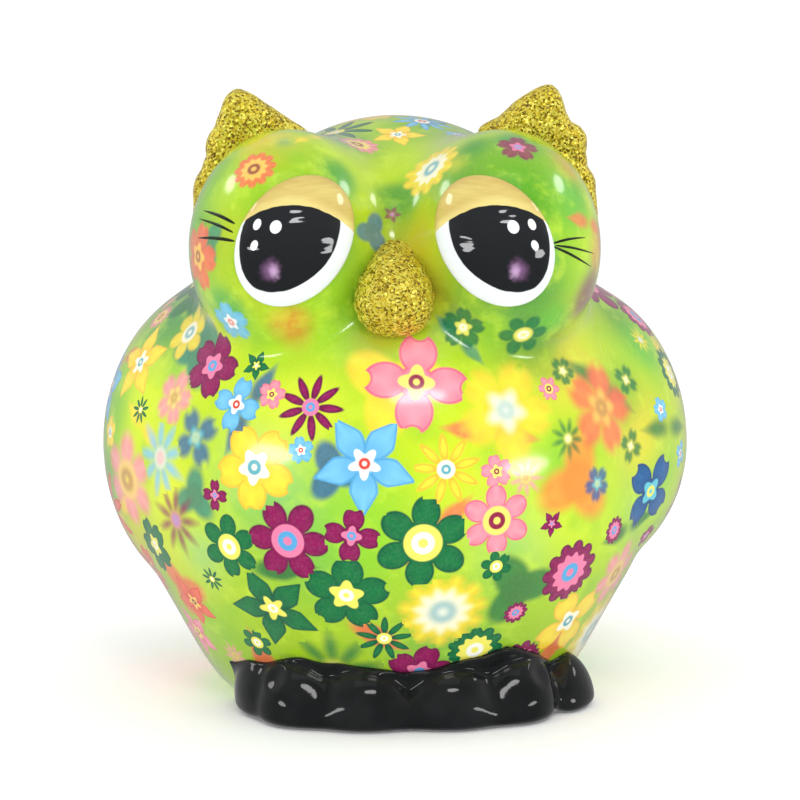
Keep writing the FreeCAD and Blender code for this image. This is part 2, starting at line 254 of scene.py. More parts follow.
def turned(outline: Array, turn: Array) -> Array:
    """An outline of radius and height, turned about the upright axis through these angles."""
    radius, height = outline[:, :1], outline[:, 1:]
    return np.stack([radius * np.cos(turn), radius * np.sin(turn), height + 0 * turn], axis=-1)


def closed_skin(rows: Array, first: Array, last: Array) -> Skin:
    """Vertices, corners and face sizes of a grid that runs from one pole to another.

    Args:
        rows: Points by row and column, where the last column joins the first.
        first: The pole before the first row.
        last: The pole after the last row.

    Returns:
        The points, the corner list and the face sizes.
    """
    count, columns = rows.shape[:2]
    points = np.concatenate([[first], rows.reshape(-1, 3), [last]])
    here = 1 + np.arange(count)[:, None] * columns + np.arange(columns)
    beside = np.roll(here, -1, axis=1)
    quads = np.stack([here[:-1], beside[:-1], beside[1:], here[1:]], axis=-1).reshape(-1)
    cap = np.stack([np.zeros(columns, int), beside[0], here[0]], axis=-1).reshape(-1)
    end = np.full(columns, len(points) - 1)
    base = np.stack([end, here[-1], beside[-1]], axis=-1).reshape(-1)
    sizes = np.concatenate([np.full(columns, 3), np.full((count - 1) * columns, 4), np.full(columns, 3)])
    return points, np.concatenate([cap, quads, base]), sizes


def skin_piece(name: str, rows: Array, first: Array, last: Array) -> bpy.types.Object:
    """One closed skin from pole to pole as an object."""
    return write_mesh(name, *closed_skin(rows, first, last))


def joined(name: str, skins: list[Skin]) -> bpy.types.Object:
    """Several closed skins as one object.

    Args:
        name: The object's name.
        skins: Points, corners and face sizes of each.

    Returns:
        The new object.
    """
    shift = np.cumsum([0] + [len(points) for points, _, _ in skins])
    points = np.concatenate([points for points, _, _ in skins])
    corners = np.concatenate([corners + s for (_, corners, _), s in zip(skins, shift)])
    return write_mesh(name, points, corners, np.concatenate([sizes for _, _, sizes in skins]))


def mirrored(rows: Array, side: Side) -> Array:
    """Points of the owl's left as they are, or mirrored to its right."""
    return rows * np.array([side.value, 1.0, 1.0])


def places_of(parts: bpy.types.bpy_prop_collection, key: str) -> Array:
    """Reads places from a mesh.

    Args:
        parts: Its vertices or faces.
        key: The property that holds their place.

    Returns:
        The places in millimetres.
    """
    values = np.empty(len(parts) * 3, np.float32)
    parts.foreach_get(key, values)
    return values.reshape(-1, 3).astype(float) / MM


def vertices_of(mesh: bpy.types.Mesh) -> Array:
    """The vertices in millimetres."""
    return places_of(mesh.vertices, "co")


def middles_of(mesh: bpy.types.Mesh) -> Array:
    """The faces' middles in millimetres."""
    return places_of(mesh.polygons, "center")


def corners_of(mesh: bpy.types.Mesh) -> tuple[Array, Array]:
    """Reads the corners of a mesh.

    Args:
        mesh: The mesh.

    Returns:
        Each corner's vertex number, and each corner's face number.
    """
    vertex = np.empty(len(mesh.loops), np.int32)
    mesh.loops.foreach_get("vertex_index", vertex)
    total = np.empty(len(mesh.polygons), np.int32)
    mesh.polygons.foreach_get("loop_total", total)
    return vertex, np.repeat(np.arange(len(total)), total)


def put(mesh: bpy.types.Mesh, name: str, kind: str, domain: str, values: Array) -> None:
    """Adds an attribute to a mesh and fills it.

    Args:
        mesh: The mesh.
        name: The attribute's name.
        kind: FLOAT_VECTOR or FLOAT_COLOR.
        domain: POINT, CORNER or FACE.
        values: A row for each of those.
    """
    key = {"FLOAT_VECTOR": "vector", "FLOAT_COLOR": "color"}[kind]
    made = mesh.attributes.new(name, kind, domain)
    made.data.foreach_set(key, np.ascontiguousarray(values, np.float32).ravel())


# --- flower transfers ----------------------


class Motif(Enum):
    """Generic transfer shapes, sized in radii of the flower.

    Each holds: petals, how far out a petal's middle lies, half a petal's width, notch at its
    tip (minus for a pointed tip), ring radius, core radius, disc behind the petals, scallop of
    the ring.
    """

    BLOSSOM = (5, 0.60, 0.37, 0.13, 0.34, 0.17, 0.45, 0.20)
    ROUND_SIX = (6, 0.64, 0.30, 0.0, 0.40, 0.24, 0.50, 0.0)
    DAISY = (9, 0.60, 0.13, -0.2, 0.26, 0.14, 0.24, 0.0)
    POMPON = (11, 0.80, 0.20, 0.0, 0.58, 0.30, 0.82, 0.10)
    STARFLOWER = (5, 0.54, 0.27, -0.75, 0.24, 0.11, 0.26, 0.30)
    CROSSFLOWER = (4, 0.58, 0.36, 0.18, 0.28, 0.15, 0.34, 0.24)
    LEAVES = (2, 0.54, 0.20, -0.6, 0.0, 0.0, 0.0, 0.0)
    LEAF = (1, 0.12, 0.32, -0.7, 0.0, 0.0, 0.0, 0.0)
    SPLASH = (3, 0.35, 0.42, 0.0, 0.0, 0.0, 0.5, 0.0)


class Colours(Enum):
    """Petal, petal tip, ring and core colours of a transfer."""

    SKY = ((122, 200, 238), (76, 160, 214), (253, 250, 238), (222, 62, 48))
    WINE = ((150, 18, 92), (104, 10, 66), (240, 128, 168), (84, 168, 222))
    ROSE = ((248, 156, 172), (236, 96, 128), (250, 232, 110), (150, 30, 70))
    SUN = ((252, 228, 56), (244, 186, 50), (252, 250, 226), (96, 176, 190))
    LEAF = ((22, 124, 66), (10, 88, 62), (244, 238, 100), (252, 252, 240))
    CORAL = ((242, 116, 84), (222, 66, 58), (252, 206, 96), (128, 24, 52))
    SEA = ((26, 98, 158), (18, 62, 118), (96, 196, 212), (240, 232, 96))
    TEAL = ((24, 138, 122), (14, 92, 96), (246, 226, 88), (202, 62, 52))
    ORANGE = ((246, 150, 62), (232, 94, 52), (176, 40, 40), (250, 226, 92))


@dataclass(frozen=True)
class Sheet:
    """A sheet of transfers: a row for each bloom, with its Motif numbers and its four colours."""

    places: Array
    radii: Array
    spins: Array
    blurs: Array
    strengths: Array
    kinds: Array
    paints: Array
    print_reach: float = 1.5
    most_stretch: float = 1.6

    def nearest(self, middles: Array) -> tuple[Array, Array]:
        """The bloom that each place belongs to, which is the nearest in radii of that bloom.

        Args:
            middles: The places.

        Returns:
            The bloom's number and how near it is.
        """
        near = np.full(len(middles), np.inf)
        pick = np.zeros(len(middles), int)
        for number, (place, radius) in enumerate(zip(self.places, self.radii)):
            away = np.linalg.norm(middles - place, axis=-1) / radius
            closer = away < near
            near, pick = np.where(closer, away, near), np.where(closer, number, pick)
        return pick, near

    def offsets(self, surface: Field, points: Array, pick: Array) -> Array:
        """Where points lie on their blooms.

        It is the offset along two directions in the bloom's tangent plane, over its radius,
        lengthened to the straight distance so that curved ground isn't cut short.

        Args:
            surface: The glazed form.
            points: The places.
            pick: The bloom that each belongs to.

        Returns:
            Two offsets and the bloom's softness for each.
        """
        up = slope(surface, self.places)
        across = unit(np.cross(UP, up))
        along = np.cross(up, across)
        cosine, sine = np.cos(self.spins)[:, None], np.sin(self.spins)[:, None]
        first, second = cosine * across + sine * along, cosine * along - sine * across
        offset = points - self.places[pick]
        u, v = (np.einsum("ij,ij->i", offset, way[pick]) for way in (first, second))
        stretch = np.linalg.norm(offset, axis=-1) / np.maximum(np.hypot(u, v), 1e-6)
        scale = np.clip(stretch, 1, self.most_stretch) / self.radii[pick]
        return np.stack([u * scale, v * scale, self.blurs[pick]], axis=-1)

    def dress(self, mesh: bpy.types.Mesh, name: str, surface: Field) -> None:
        """Writes the sheet onto a mesh as attributes.

        Args:
            mesh: The mesh.
            name: What the attributes' names start with.
            surface: The glazed form.
        """
        pick, near = self.nearest(middles_of(mesh))
        vertex, face = corners_of(mesh)
        at = self.offsets(surface, vertices_of(mesh)[vertex], pick[face])
        put(mesh, f"{name}_at", "FLOAT_VECTOR", "CORNER", at)
        petals, middle, width, notch, ring, core, disc, scallop = self.kinds[pick].T
        put(mesh, f"{name}_form", "FLOAT_VECTOR", "FACE", np.stack([petals, middle, width], axis=-1))
        put(mesh, f"{name}_rings", "FLOAT_VECTOR", "FACE", np.stack([ring, core, notch], axis=-1))
        shown = np.where(near < self.print_reach, self.strengths[pick], 0.0)
        paints, extras = self.paints[pick].swapaxes(0, 1), (shown, disc, scallop, np.ones(len(pick)))
        for key, paint, extra in zip(("petal", "tip", "ring", "core"), paints, extras):
            put(mesh, f"{name}_{key}", "FLOAT_COLOR", "FACE", np.column_stack([paint, extra]))


@dataclass
class Transfers:
    """The flower transfers on the lime glaze: where each lies, how large it is and its colours.

    The large ones lie on a golden-angle spiral round the body, and every bloom pushes its
    neighbours away along the surface until they hardly overlap.
    """

    surface: Field
    middle: Array
    seed: int = 11
    large: int = 54
    medium: int = 92
    small: int = 92
    soft: int = 78
    lowest: float = 14.0
    face: tuple[tuple[Point, float], ...] = (
        ((24.2, -62.0, 120.9), 17.5), ((-24.2, -62.0, 120.9), 17.5), ((0.0, -60.0, 110.0), 12.0))
    sheets: dict[str, Sheet] = field(default_factory=dict)

    def spread(self, sizes: Array, rng: np.random.Generator, rounds: int = 70) -> Array:
        """Places on the surface for blooms of these radii.

        They start at turns of the golden angle, and rise evenly. Two blooms nearer than their
        radii together move apart by half of what they lack, and the face's keep-out discs push
        blooms away in the same way.

        Args:
            sizes: The radii.
            rng: Draws the order in which the places are dealt.
            rounds: How often the blooms push each other.

        Returns:
            A place for each bloom.
        """
        count = len(sizes)
        turn = np.arange(count) * GOLDEN_TURN
        rise = 1 - (np.arange(count) + 0.5) / count * 1.86
        order = rng.permutation(count)
        flat = np.sqrt(1 - rise**2)
        aim = np.stack([flat * np.cos(turn), flat * np.sin(turn), rise], axis=-1)[order]
        stops = np.array([place for place, _ in self.face])
        stop_sizes = np.array([size for _, size in self.face])
        for _ in range(rounds):
            reach = outermost(self.surface, self.middle, aim, REACH, 24)
            points = self.middle + aim * reach[:, None]
            push = np.zeros_like(points)
            for others, radii, own in ((points, sizes, True), (stops, stop_sizes, False)):
                apart = points[:, None] - others[None]
                gap = np.linalg.norm(apart, axis=-1) + (np.eye(count) * 1e6 if own else 0)
                lack = np.maximum(0.9 * (sizes[:, None] + radii[None]) - gap, 0)
                push += (apart / gap[..., None] * (lack * (0.5 if own else 1.0))[..., None]).sum(axis=1)
            points = points + push
            points[:, 2] = np.maximum(points[:, 2], self.lowest)
            aim = unit(points - self.middle)
        reach = outermost(self.surface, self.middle, aim, REACH)
        return self.middle + aim * reach[:, None]

    def lay(self) -> None:
        """Works out both sheets of transfers: soft leaves and splashes below, crisp blooms above."""
        rng = np.random.default_rng(self.seed)
        flowers = [Motif.BLOSSOM, Motif.POMPON, Motif.ROUND_SIX, Motif.CROSSFLOWER, Motif.DAISY,
                   Motif.BLOSSOM, Motif.STARFLOWER]
        tints = [Colours.SKY, Colours.WINE, Colours.ROSE, Colours.LEAF, Colours.SKY, Colours.CORAL,
                 Colours.SUN, Colours.SEA, Colours.WINE, Colours.LEAF, Colours.ROSE, Colours.SUN]
        sizes = np.concatenate([rng.uniform(10.5, 13.4, self.large), rng.uniform(7.0, 9.4, self.medium),
                                rng.uniform(3.2, 4.8, self.small)])
        self.sheets["over"] = self.sheet(sizes, flowers, tints, rng, 0.02)
        leaves = [Motif.LEAVES, Motif.SPLASH, Motif.LEAF, Motif.SPLASH, Motif.LEAVES]
        soft = [Colours.LEAF, Colours.TEAL, Colours.SUN, Colours.CORAL, Colours.SEA, Colours.LEAF,
                Colours.ORANGE]
        sizes = rng.uniform(7, 13, self.soft)
        self.sheets["under"] = self.sheet(sizes, leaves, soft, rng, 0.10)

    def sheet(self, sizes: Array, motifs: list[Motif], tints: list[Colours], rng: np.random.Generator,
              softness: float) -> Sheet:
        """Spreads blooms of these sizes and deals out their shapes and colours.

        Blooms on the eye lobes fade and soften, since the transfer stretches over them, and
        more of those on the wings have run. Near the feet warm colours replace the blues.

        Args:
            sizes: The blooms' radii.
            motifs: The shapes to deal out.
            tints: The colours to deal out.
            rng: Deals them out and draws the spins.
            softness: How wide a crisp edge is, in radii.

        Returns:
            The sheet.
        """
        places = self.spread(sizes, rng)
        count = len(sizes)
        kinds = np.array([motifs[k % len(motifs)].value for k in rng.permutation(count)], float)
        paints = np.array([[linear(c) for c in tints[k % len(tints)].value] for k in rng.permutation(count)])
        low = (places[:, 2] < 50) & (places[:, 1] < 10)
        blue = (paints[:, 0, 2] > paints[:, 0, 1]) & (paints[:, 0, 2] > paints[:, 0, 0])
        warm = np.array([[linear(c) for c in tint.value] for tint in
                         (Colours.CORAL, Colours.SUN, Colours.ROSE, Colours.SUN, Colours.LEAF)])
        paints = np.where((low & blue)[:, None, None], warm[np.arange(count) % len(warm)], paints)
        spin = rng.uniform(0, 2 * math.pi, count)
        on_face = (places[:, 1] < -18) & (places[:, 2] > 94) & (np.abs(places[:, 0]) < 56)
        on_wings = np.abs(places[:, 0]) > 50
        blur = np.where(rng.random(count) < np.where(on_wings, 0.4, 0.16), 0.16, softness)
        blur = np.where(on_face, np.maximum(blur, 0.07), blur)
        faint = np.where(rng.random(count) < 0.6, 0.0, 0.85)
        strength = np.where(on_face, faint, 1.0) * np.where(blur > 0.09, 0.85, 1.0)
        sizes = np.where(on_face, sizes * 0.72, sizes)
        return Sheet(places, sizes, spin, blur, strength, kinds, paints)

    def dress(self, mesh: bpy.types.Mesh) -> None:
        """Writes both sheets onto a mesh as attributes."""
        for name, sheet in self.sheets.items():
            sheet.dress(mesh, name, self.surface)


@dataclass(frozen=True)
class Cloud:
    """A soft patch of colour about a place, with firmer edges where its power is higher."""

    place: Array | Point
    spread: float
    tint: Tint
    strength: float
    power: int = 4

    def over(self, colour: Array, points: Array) -> Array:
        """Colours with the cloud laid over them.

        Its weight is strength times e to the minus (distance over spread) to the power, over 2.

        Args:
            colour: The colours.
            points: Where they lie.

        Returns:
            The new colours.
        """
        away = np.linalg.norm(points - self.place, axis=-1) / self.spread
        weight = self.strength * np.exp(-away**self.power / 2)
        return colour + (linear(self.tint) - colour) * weight[:, None]


@dataclass
class Wash:
    """The airbrushed ground under the transfers: lime with soft clouds of other colours.

    The clouds lie over one another, and the smears on the face, which have firmer edges, over
    them. Below a set height painted shade comes in: a deeper green, up to its full share a fade
    lower, as the lower belly gets less light.
    """

    surface: Field
    middle: Array
    seed: int = 5
    lime: Tint = (188, 220, 10)
    # foot and the three numbers below it paint shade: the lower belly turns a deeper green, as if less light
    # reached it.
    foot: Tint = (126, 178, 14)
    foot_share: float = 0.55
    foot_height: float = 52.0
    painted_shade_fade: float = 40.0
    body: tuple[tuple[Tint, float], ...] = (
        ((218, 236, 30), 0.75), ((112, 200, 40), 0.7), ((240, 240, 50), 0.6), ((56, 176, 100), 0.66),
        ((208, 234, 24), 0.7), ((96, 200, 180), 0.36), ((146, 214, 30), 0.7), ((248, 176, 80), 0.42))
    head: tuple[tuple[Tint, float], ...] = (
        ((88, 172, 28), 0.88), ((170, 198, 24), 0.8), ((42, 142, 52), 0.75), ((190, 192, 36), 0.6),
        ((100, 176, 20), 0.85), ((216, 128, 48), 0.42), ((38, 134, 74), 0.6), ((148, 192, 20), 0.8))
    smears: tuple[tuple[Point, float, Tint, float], ...] = (
        ((-47.0, -46.0, 120.0), 9.2, (92, 172, 44), 0.85), ((-43.0, -40.0, 135.0), 8.0, (116, 182, 36), 0.85),
        ((-31.0, -46.0, 146.0), 6.9, (222, 200, 46), 0.9), ((-27.0, -46.0, 147.5), 3.0, (58, 150, 130), 0.9),
        ((-25.0, -60.0, 100.0), 5.1, (228, 104, 48), 0.8), ((-40.0, -52.0, 105.0), 5.8, (62, 168, 80), 0.85),
        ((-13.5, -50.0, 137.0), 5.3, (72, 160, 56), 0.9), ((1.0, -42.0, 131.0), 4.8, (52, 150, 58), 0.92),
        ((13.0, -49.0, 143.0), 4.1, (236, 220, 56), 0.8), ((18.0, -46.0, 147.0), 5.1, (44, 144, 60), 0.92),
        ((30.0, -46.0, 147.0), 5.3, (46, 152, 98), 0.92), ((44.0, -44.0, 141.0), 5.1, (212, 158, 52), 0.8),
        ((43.0, -51.0, 130.0), 5.8, (104, 186, 56), 0.8), ((49.5, -42.0, 118.0), 5.3, (226, 140, 70), 0.8),
        ((48.0, -46.0, 107.0), 5.8, (132, 66, 92), 0.85), ((39.0, -55.0, 101.0), 4.6, (104, 194, 56), 0.7),
        ((12.0, -58.0, 102.0), 3.4, (24, 132, 100), 0.8), ((24.0, -60.0, 98.0), 5.1, (140, 208, 40), 0.6),
        ((-60.0, -14.0, 99.0), 12.5, (48, 154, 78), 0.8), ((-72.0, -10.0, 72.0), 12.5, (96, 186, 48), 0.75),
        ((-70.0, -12.0, 54.0), 7.5, (40, 150, 84), 0.7), ((53.0, -30.0, 80.0), 7.5, (92, 176, 56), 0.65),
        ((66.0, -16.0, 92.0), 6.5, (96, 186, 70), 0.6), ((-52.0, -34.0, 88.0), 6.0, (120, 196, 60), 0.6),
        ((30.0, -48.0, 141.0), 9.5, (76, 162, 34), 0.45), ((-50.0, -36.0, 110.0), 9.0, (84, 166, 44), 0.6),
        ((0.0, -42.0, 126.0), 7.0, (122, 182, 44), 0.55), ((-34.0, -54.0, 143.0), 8.0, (150, 176, 20), 0.4))

    def clouds(self) -> list[Cloud]:
        """Scatters the clouds over the body and the head, by rise and turn, and adds the smears.

        Returns:
            The clouds, the lowest first.
        """
        rng = np.random.default_rng(self.seed)
        made = []
        for tints, count, low, high, spread in (
                (self.body, 110, -0.9, 0.6, (5, 13)), (self.head, 90, 0.25, 1.0, (4, 9))):
            rise = rng.uniform(low, high, count)
            turn = rng.uniform(0, 2 * math.pi, count)
            flat = np.sqrt(1 - rise**2)
            aim = np.stack([flat * np.cos(turn), flat * np.sin(turn), rise], axis=-1)
            places = self.middle + aim * outermost(self.surface, self.middle, aim, REACH, 24)[:, None]
            spreads = rng.uniform(*spread, count)
            made += [Cloud(places[k], spreads[k], *tints[k % len(tints)], power=2) for k in range(count)]
        return made + [Cloud(*smear) for smear in self.smears]

    def dress(self, mesh: bpy.types.Mesh) -> None:
        """Writes the ground colour, with painted shade deepening it towards the table, onto a mesh's
        vertices.

        Args:
            mesh: The mesh.
        """
        points = vertices_of(mesh)
        colour = np.tile(np.array(linear(self.lime)), (len(points), 1))
        for cloud in self.clouds():
            colour = cloud.over(colour, points)
        # Painted shade: below a height the colour is pulled towards the deeper green, more so lower down.
        low = np.clip((self.foot_height - points[:, 2]) / self.painted_shade_fade, 0, 1)
        colour += (np.array(linear(self.foot)) - colour) * self.foot_share * low[:, None]
        put(mesh, "wash", "FLOAT_COLOR", "POINT", np.pad(colour, ((0, 0), (0, 1)), constant_values=1.0))


# --- shader wiring -------------------------


class Kind(Enum):
    """What a node group's socket carries."""

    VALUE = "NodeSocketFloat"
    VECTOR = "NodeSocketVector"
    COLOUR = "NodeSocketColor"


VALUE, VECTOR, COLOUR = Kind


class Wiring:
    """Short ways to add nodes to a tree; most methods return the socket that carries the result."""

    def __init__(self, tree: bpy.types.NodeTree) -> None:
        """Keeps the tree that the nodes go into."""
        self.tree = tree

    def node(self, kind: str, **settings: object) -> Node:
        """Adds a node.

        Args:
            kind: The node's type.
            settings: Its plain settings.

        Returns:
            The new node.
        """
        made = self.tree.nodes.new(kind)
        for key, value in settings.items():
            setattr(made, key, value)
        return made

    def feed(self, socket: Socket, value: Given) -> None:
        """Links a socket, or sets a constant on it.

        Args:
            socket: The input to fill.
            value: Another node's output, or a number, vector or colour.
        """
        if isinstance(value, Socket):
            self.tree.links.new(value, socket)
        elif isinstance(value, tuple) and socket.type == "RGBA" and len(value) == 3:
            socket.default_value = (*value, 1.0)
        else:
            socket.default_value = value

    def filled(self, made: Node, values: dict[str | int, Given]) -> Outputs:
        """Feeds a node's inputs.

        Args:
            made: The node.
            values: What goes into each input, by its name or number.

        Returns:
            The node's outputs.
        """
        for key, value in values.items():
            self.feed(made.inputs[key], value)
        return made.outputs

    def math(self, operation: str, *values: Given, clamp: bool = False) -> Socket:
        """The result of a Math node, kept within 0 and 1 where it is clamped."""
        made = self.node("ShaderNodeMath", operation=operation, use_clamp=clamp)
        return self.filled(made, dict(enumerate(values)))[0]

    def plus(self, a: Given, b: Given) -> Socket:
        """a plus b."""
        return self.math("ADD", a, b)

    def minus(self, a: Given, b: Given) -> Socket:
        """a less b."""
        return self.math("SUBTRACT", a, b)

    def times(self, a: Given, b: Given) -> Socket:
        """a times b."""
        return self.math("MULTIPLY", a, b)

    def over(self, a: Given, b: Given, least: float) -> Socket:
        """a divided by b, where b counts as no less than the least."""
        return self.math("DIVIDE", a, self.math("MAXIMUM", b, least))

    def length(self, a: Given, b: Given) -> Socket:
        """The root of a squared plus b squared."""
        return self.math("SQRT", self.plus(self.times(a, a), self.times(b, b)))

    def vector(self, operation: str, *values: Given) -> Socket:
        """The result of a Vector Math node."""
        made = self.node("ShaderNodeVectorMath", operation=operation)
        return self.filled(made, dict(enumerate(values)))["Vector"]

    def scaled(self, vector: Given, share: Given) -> Socket:
        """A vector times a share."""
        made = self.node("ShaderNodeVectorMath", operation="SCALE")
        return self.filled(made, {0: vector, "Scale": share})["Vector"]

    def split(self, vector: Given) -> list[Socket]:
        """x, y and z of a vector."""
        return list(self.filled(self.node("ShaderNodeSeparateXYZ"), {0: vector}))

    def step(self, value: Given, start: Given, end: Given) -> Socket:
        """0 before start, 1 after end, with a smooth step between them."""
        made = self.node("ShaderNodeMapRange", interpolation_type="SMOOTHSTEP", clamp=True)
        return self.filled(made, {"Value": value, "From Min": start, "From Max": end})["Result"]

    def mix(self, share: Given, a: Given, b: Given) -> Socket:
        """Colour a, with this share of colour b laid over it."""
        return self.filled(self.node("ShaderNodeMix", data_type="RGBA"), {0: share, 6: a, 7: b})[2]

    def read(self, name: str) -> Outputs:
        """One of the piece's attributes."""
        return self.node("ShaderNodeAttribute", attribute_type="GEOMETRY", attribute_name=name).outputs

    def place(self) -> Socket:
        """Object coordinates."""
        return self.node("ShaderNodeTexCoord").outputs["Object"]

    def noise(self, place: Given, scale: float, detail: float = 2.0, roughness: float = 0.5) -> Outputs:
        """A Noise texture."""
        values = {"Vector": place, "Scale": scale, "Detail": detail, "Roughness": roughness}
        return self.filled(self.node("ShaderNodeTexNoise"), values)


class Effect:
    """A shader node group with named inputs and outputs, built once."""

    def __init__(self, name: str, inputs: dict[str, Kind], outputs: dict[str, Kind]) -> None:
        """Makes the group and its sockets.

        Args:
            name: The group's name.
            inputs: The name of each input, and what it carries.
            outputs: The name of each output, and what it carries.
        """
        self.tree = bpy.data.node_groups.new(name, "ShaderNodeTree")
        for direction, sockets in (("INPUT", inputs), ("OUTPUT", outputs)):
            for key, kind in sockets.items():
                self.tree.interface.new_socket(name=key, in_out=direction, socket_type=kind.value)
        self.wiring = Wiring(self.tree)
        self.inside = self.wiring.node("NodeGroupInput").outputs
        self.out = self.wiring.node("NodeGroupOutput").inputs

    def used(self, wiring: Wiring, **values: Given) -> Outputs:
        """The outputs of the group, placed in a material's tree with these values."""
        return wiring.filled(wiring.node("ShaderNodeGroup", node_tree=self.tree), values)


def bloom_effect() -> Effect:
    """One transfer flower over a ground colour.

    The place is folded into one petal's sector. A petal is an ellipse about a middle on the
    sector's line, narrowed towards its end where it is pointed and bitten by a circle where it
    is notched. A disc fills in behind the petals, a thin line in the tips' colour runs round
    them where the print is crisp, and a scalloped ring, a core and a dot lie over them.

    Returns:
        The effect, whose numbers are in radii of the flower.
    """
    effect = Effect("bloom", {
        "Ground": COLOUR, "At": VECTOR, "Form": VECTOR, "Rings": VECTOR, "Petal": COLOUR, "Shown": VALUE,
        "Tip": COLOUR, "Disc": VALUE, "Ring": COLOUR, "Scallop": VALUE, "Core": COLOUR,
    }, {"Colour": COLOUR})
    bite_middle, line_from, line_to, line_share = 1.03, 0.06, 0.03, 0.8
    vein_share, inner_share, dot_share, least_ring = 0.55, 0.45, 0.42, 0.02
    w, given = effect.wiring, effect.inside
    u, v, soft = w.split(given["At"])
    petals, middle, width = w.split(given["Form"])
    ring, core, notch = w.split(given["Rings"])
    radius, angle = w.length(u, v), w.math("ARCTAN2", v, u)
    sector = w.over(2 * math.pi, petals, 1.0)
    turn = w.math("DIVIDE", angle, sector)
    fold = w.times(w.minus(turn, w.math("ROUND", turn)), sector)
    x = w.times(radius, w.math("COSINE", fold))
    y = w.math("ABSOLUTE", w.times(radius, w.math("SINE", fold)))
    ahead = w.over(w.minus(x, middle), w.minus(1.0, middle), 0.05)
    point = w.math("MAXIMUM", w.times(notch, -1.0), 0.0)
    narrow = w.minus(1.0, w.times(point, w.math("MAXIMUM", ahead, 0.0)))
    beside = w.over(y, w.times(width, w.math("MAXIMUM", narrow, 0.05)), 0.01)
    petal = w.times(w.minus(1.0, w.length(ahead, beside)), width)
    bite = w.minus(w.length(w.minus(x, bite_middle), y), w.math("MAXIMUM", notch, 0.0))
    disc = w.minus(given["Disc"], radius)
    inside = w.math("MAXIMUM", w.math("MINIMUM", petal, bite), disc)
    blur = w.times(soft, -1.0)
    mask = w.times(w.step(inside, blur, soft), given["Shown"])
    vein = w.times(w.step(beside, 0.0, 0.55), w.step(radius, 0.4, 1.0))
    inner = w.times(w.step(radius, 0.62, 0.30), inner_share)
    tone = w.math("ADD", w.times(vein, vein_share), inner, clamp=True)
    paint = w.mix(tone, given["Petal"], given["Tip"])
    line = w.times(w.step(inside, line_from, line_to), w.step(soft, line_from, line_to))
    paint = w.mix(w.times(line, line_share), paint, given["Tip"])
    colour = w.mix(mask, given["Ground"], paint)
    wave = w.plus(1.0, w.times(given["Scallop"], w.math("COSINE", w.times(angle, petals))))
    for size, tint in ((w.times(ring, wave), given["Ring"]), (core, given["Core"]),
                       (w.times(core, dot_share), given["Ring"])):
        edge = w.step(w.minus(size, radius), blur, soft)
        there = w.times(edge, w.math("GREATER_THAN", size, least_ring))
        colour = w.mix(w.times(there, given["Shown"]), colour, tint)
    w.feed(effect.out["Colour"], colour)
    return effect


def ripple_effect() -> Effect:
    """The long, shallow waves of a poured glaze with a little of its short ones, as a height from 0 to 1.

    Returns:
        The effect, whose size is the number of long waves in a metre.
    """
    effect = Effect("glaze ripple", {"Place": VECTOR, "Size": VALUE}, {"Height": VALUE})
    w, given = effect.wiring, effect.inside
    place = w.scaled(given["Place"], given["Size"])
    long, short = w.noise(place, 1.0, 1.0, 0.4)["Fac"], w.noise(place, 5.0)["Fac"]
    w.feed(effect.out["Height"], w.plus(w.times(long, 0.85), w.times(short, 0.15)))
    return effect


def brush_effect() -> Effect:
    """Streaks that a brush leaves in paint, as a share from 0 to 1, long in x.

    Returns:
        The effect.
    """
    effect = Effect("brush streaks", {"Place": VECTOR, "Fine": VALUE}, {"Streak": VALUE})
    w, given = effect.wiring, effect.inside
    stretched = w.vector("MULTIPLY", given["Place"], (0.16, 1.0, 1.0))
    w.feed(effect.out["Streak"], w.noise(w.scaled(stretched, given["Fine"]), 1.0, 3.0, 0.6)["Fac"])
    return effect


def flake_effect() -> Effect:
    """Glitter: cells with a colour each between brown shadow and bright gold, and a tilted normal.

    Returns:
        The effect, whose size is the number of flakes in a metre.
    """
    effect = Effect("glitter flakes", {"Place": VECTOR, "Size": VALUE, "Dark": COLOUR, "Middle": COLOUR,
                                       "Bright": COLOUR, "Tilt": VALUE}, {"Colour": COLOUR, "Normal": VECTOR})
    w, given = effect.wiring, effect.inside
    warp = w.noise(given["Place"], 900.0, 1.0)["Color"]
    place = w.vector("ADD", given["Place"], w.vector("MULTIPLY", warp, (0.0005, 0.0005, 0.0005)))
    cells = w.filled(w.node("ShaderNodeTexVoronoi", feature="F1"), {"Vector": place, "Scale": given["Size"]})
    lot, _, _ = w.split(cells["Color"])
    clump = w.noise(given["Place"], 260.0)["Fac"]
    shade = w.plus(w.times(lot, 0.8), w.times(clump, 0.42))
    low = w.mix(w.step(shade, 0.22, 0.62), given["Dark"], given["Middle"])
    w.feed(effect.out["Colour"], w.mix(w.step(shade, 0.60, 0.92), low, given["Bright"]))
    lean = w.scaled(w.vector("SUBTRACT", cells["Color"], (0.5, 0.5, 0.5)), given["Tilt"])
    facing = w.node("ShaderNodeNewGeometry").outputs["Normal"]
    w.feed(effect.out["Normal"], w.vector("NORMALIZE", w.vector("ADD", facing, lean)))
    return effect


@dataclass
class Effects:
    """The node groups that the finishes share."""

    bloom: Effect = field(default_factory=bloom_effect)
    ripple: Effect = field(default_factory=ripple_effect)
    brush: Effect = field(default_factory=brush_effect)
    flakes: Effect = field(default_factory=flake_effect)


# --- finishes ------------------------------


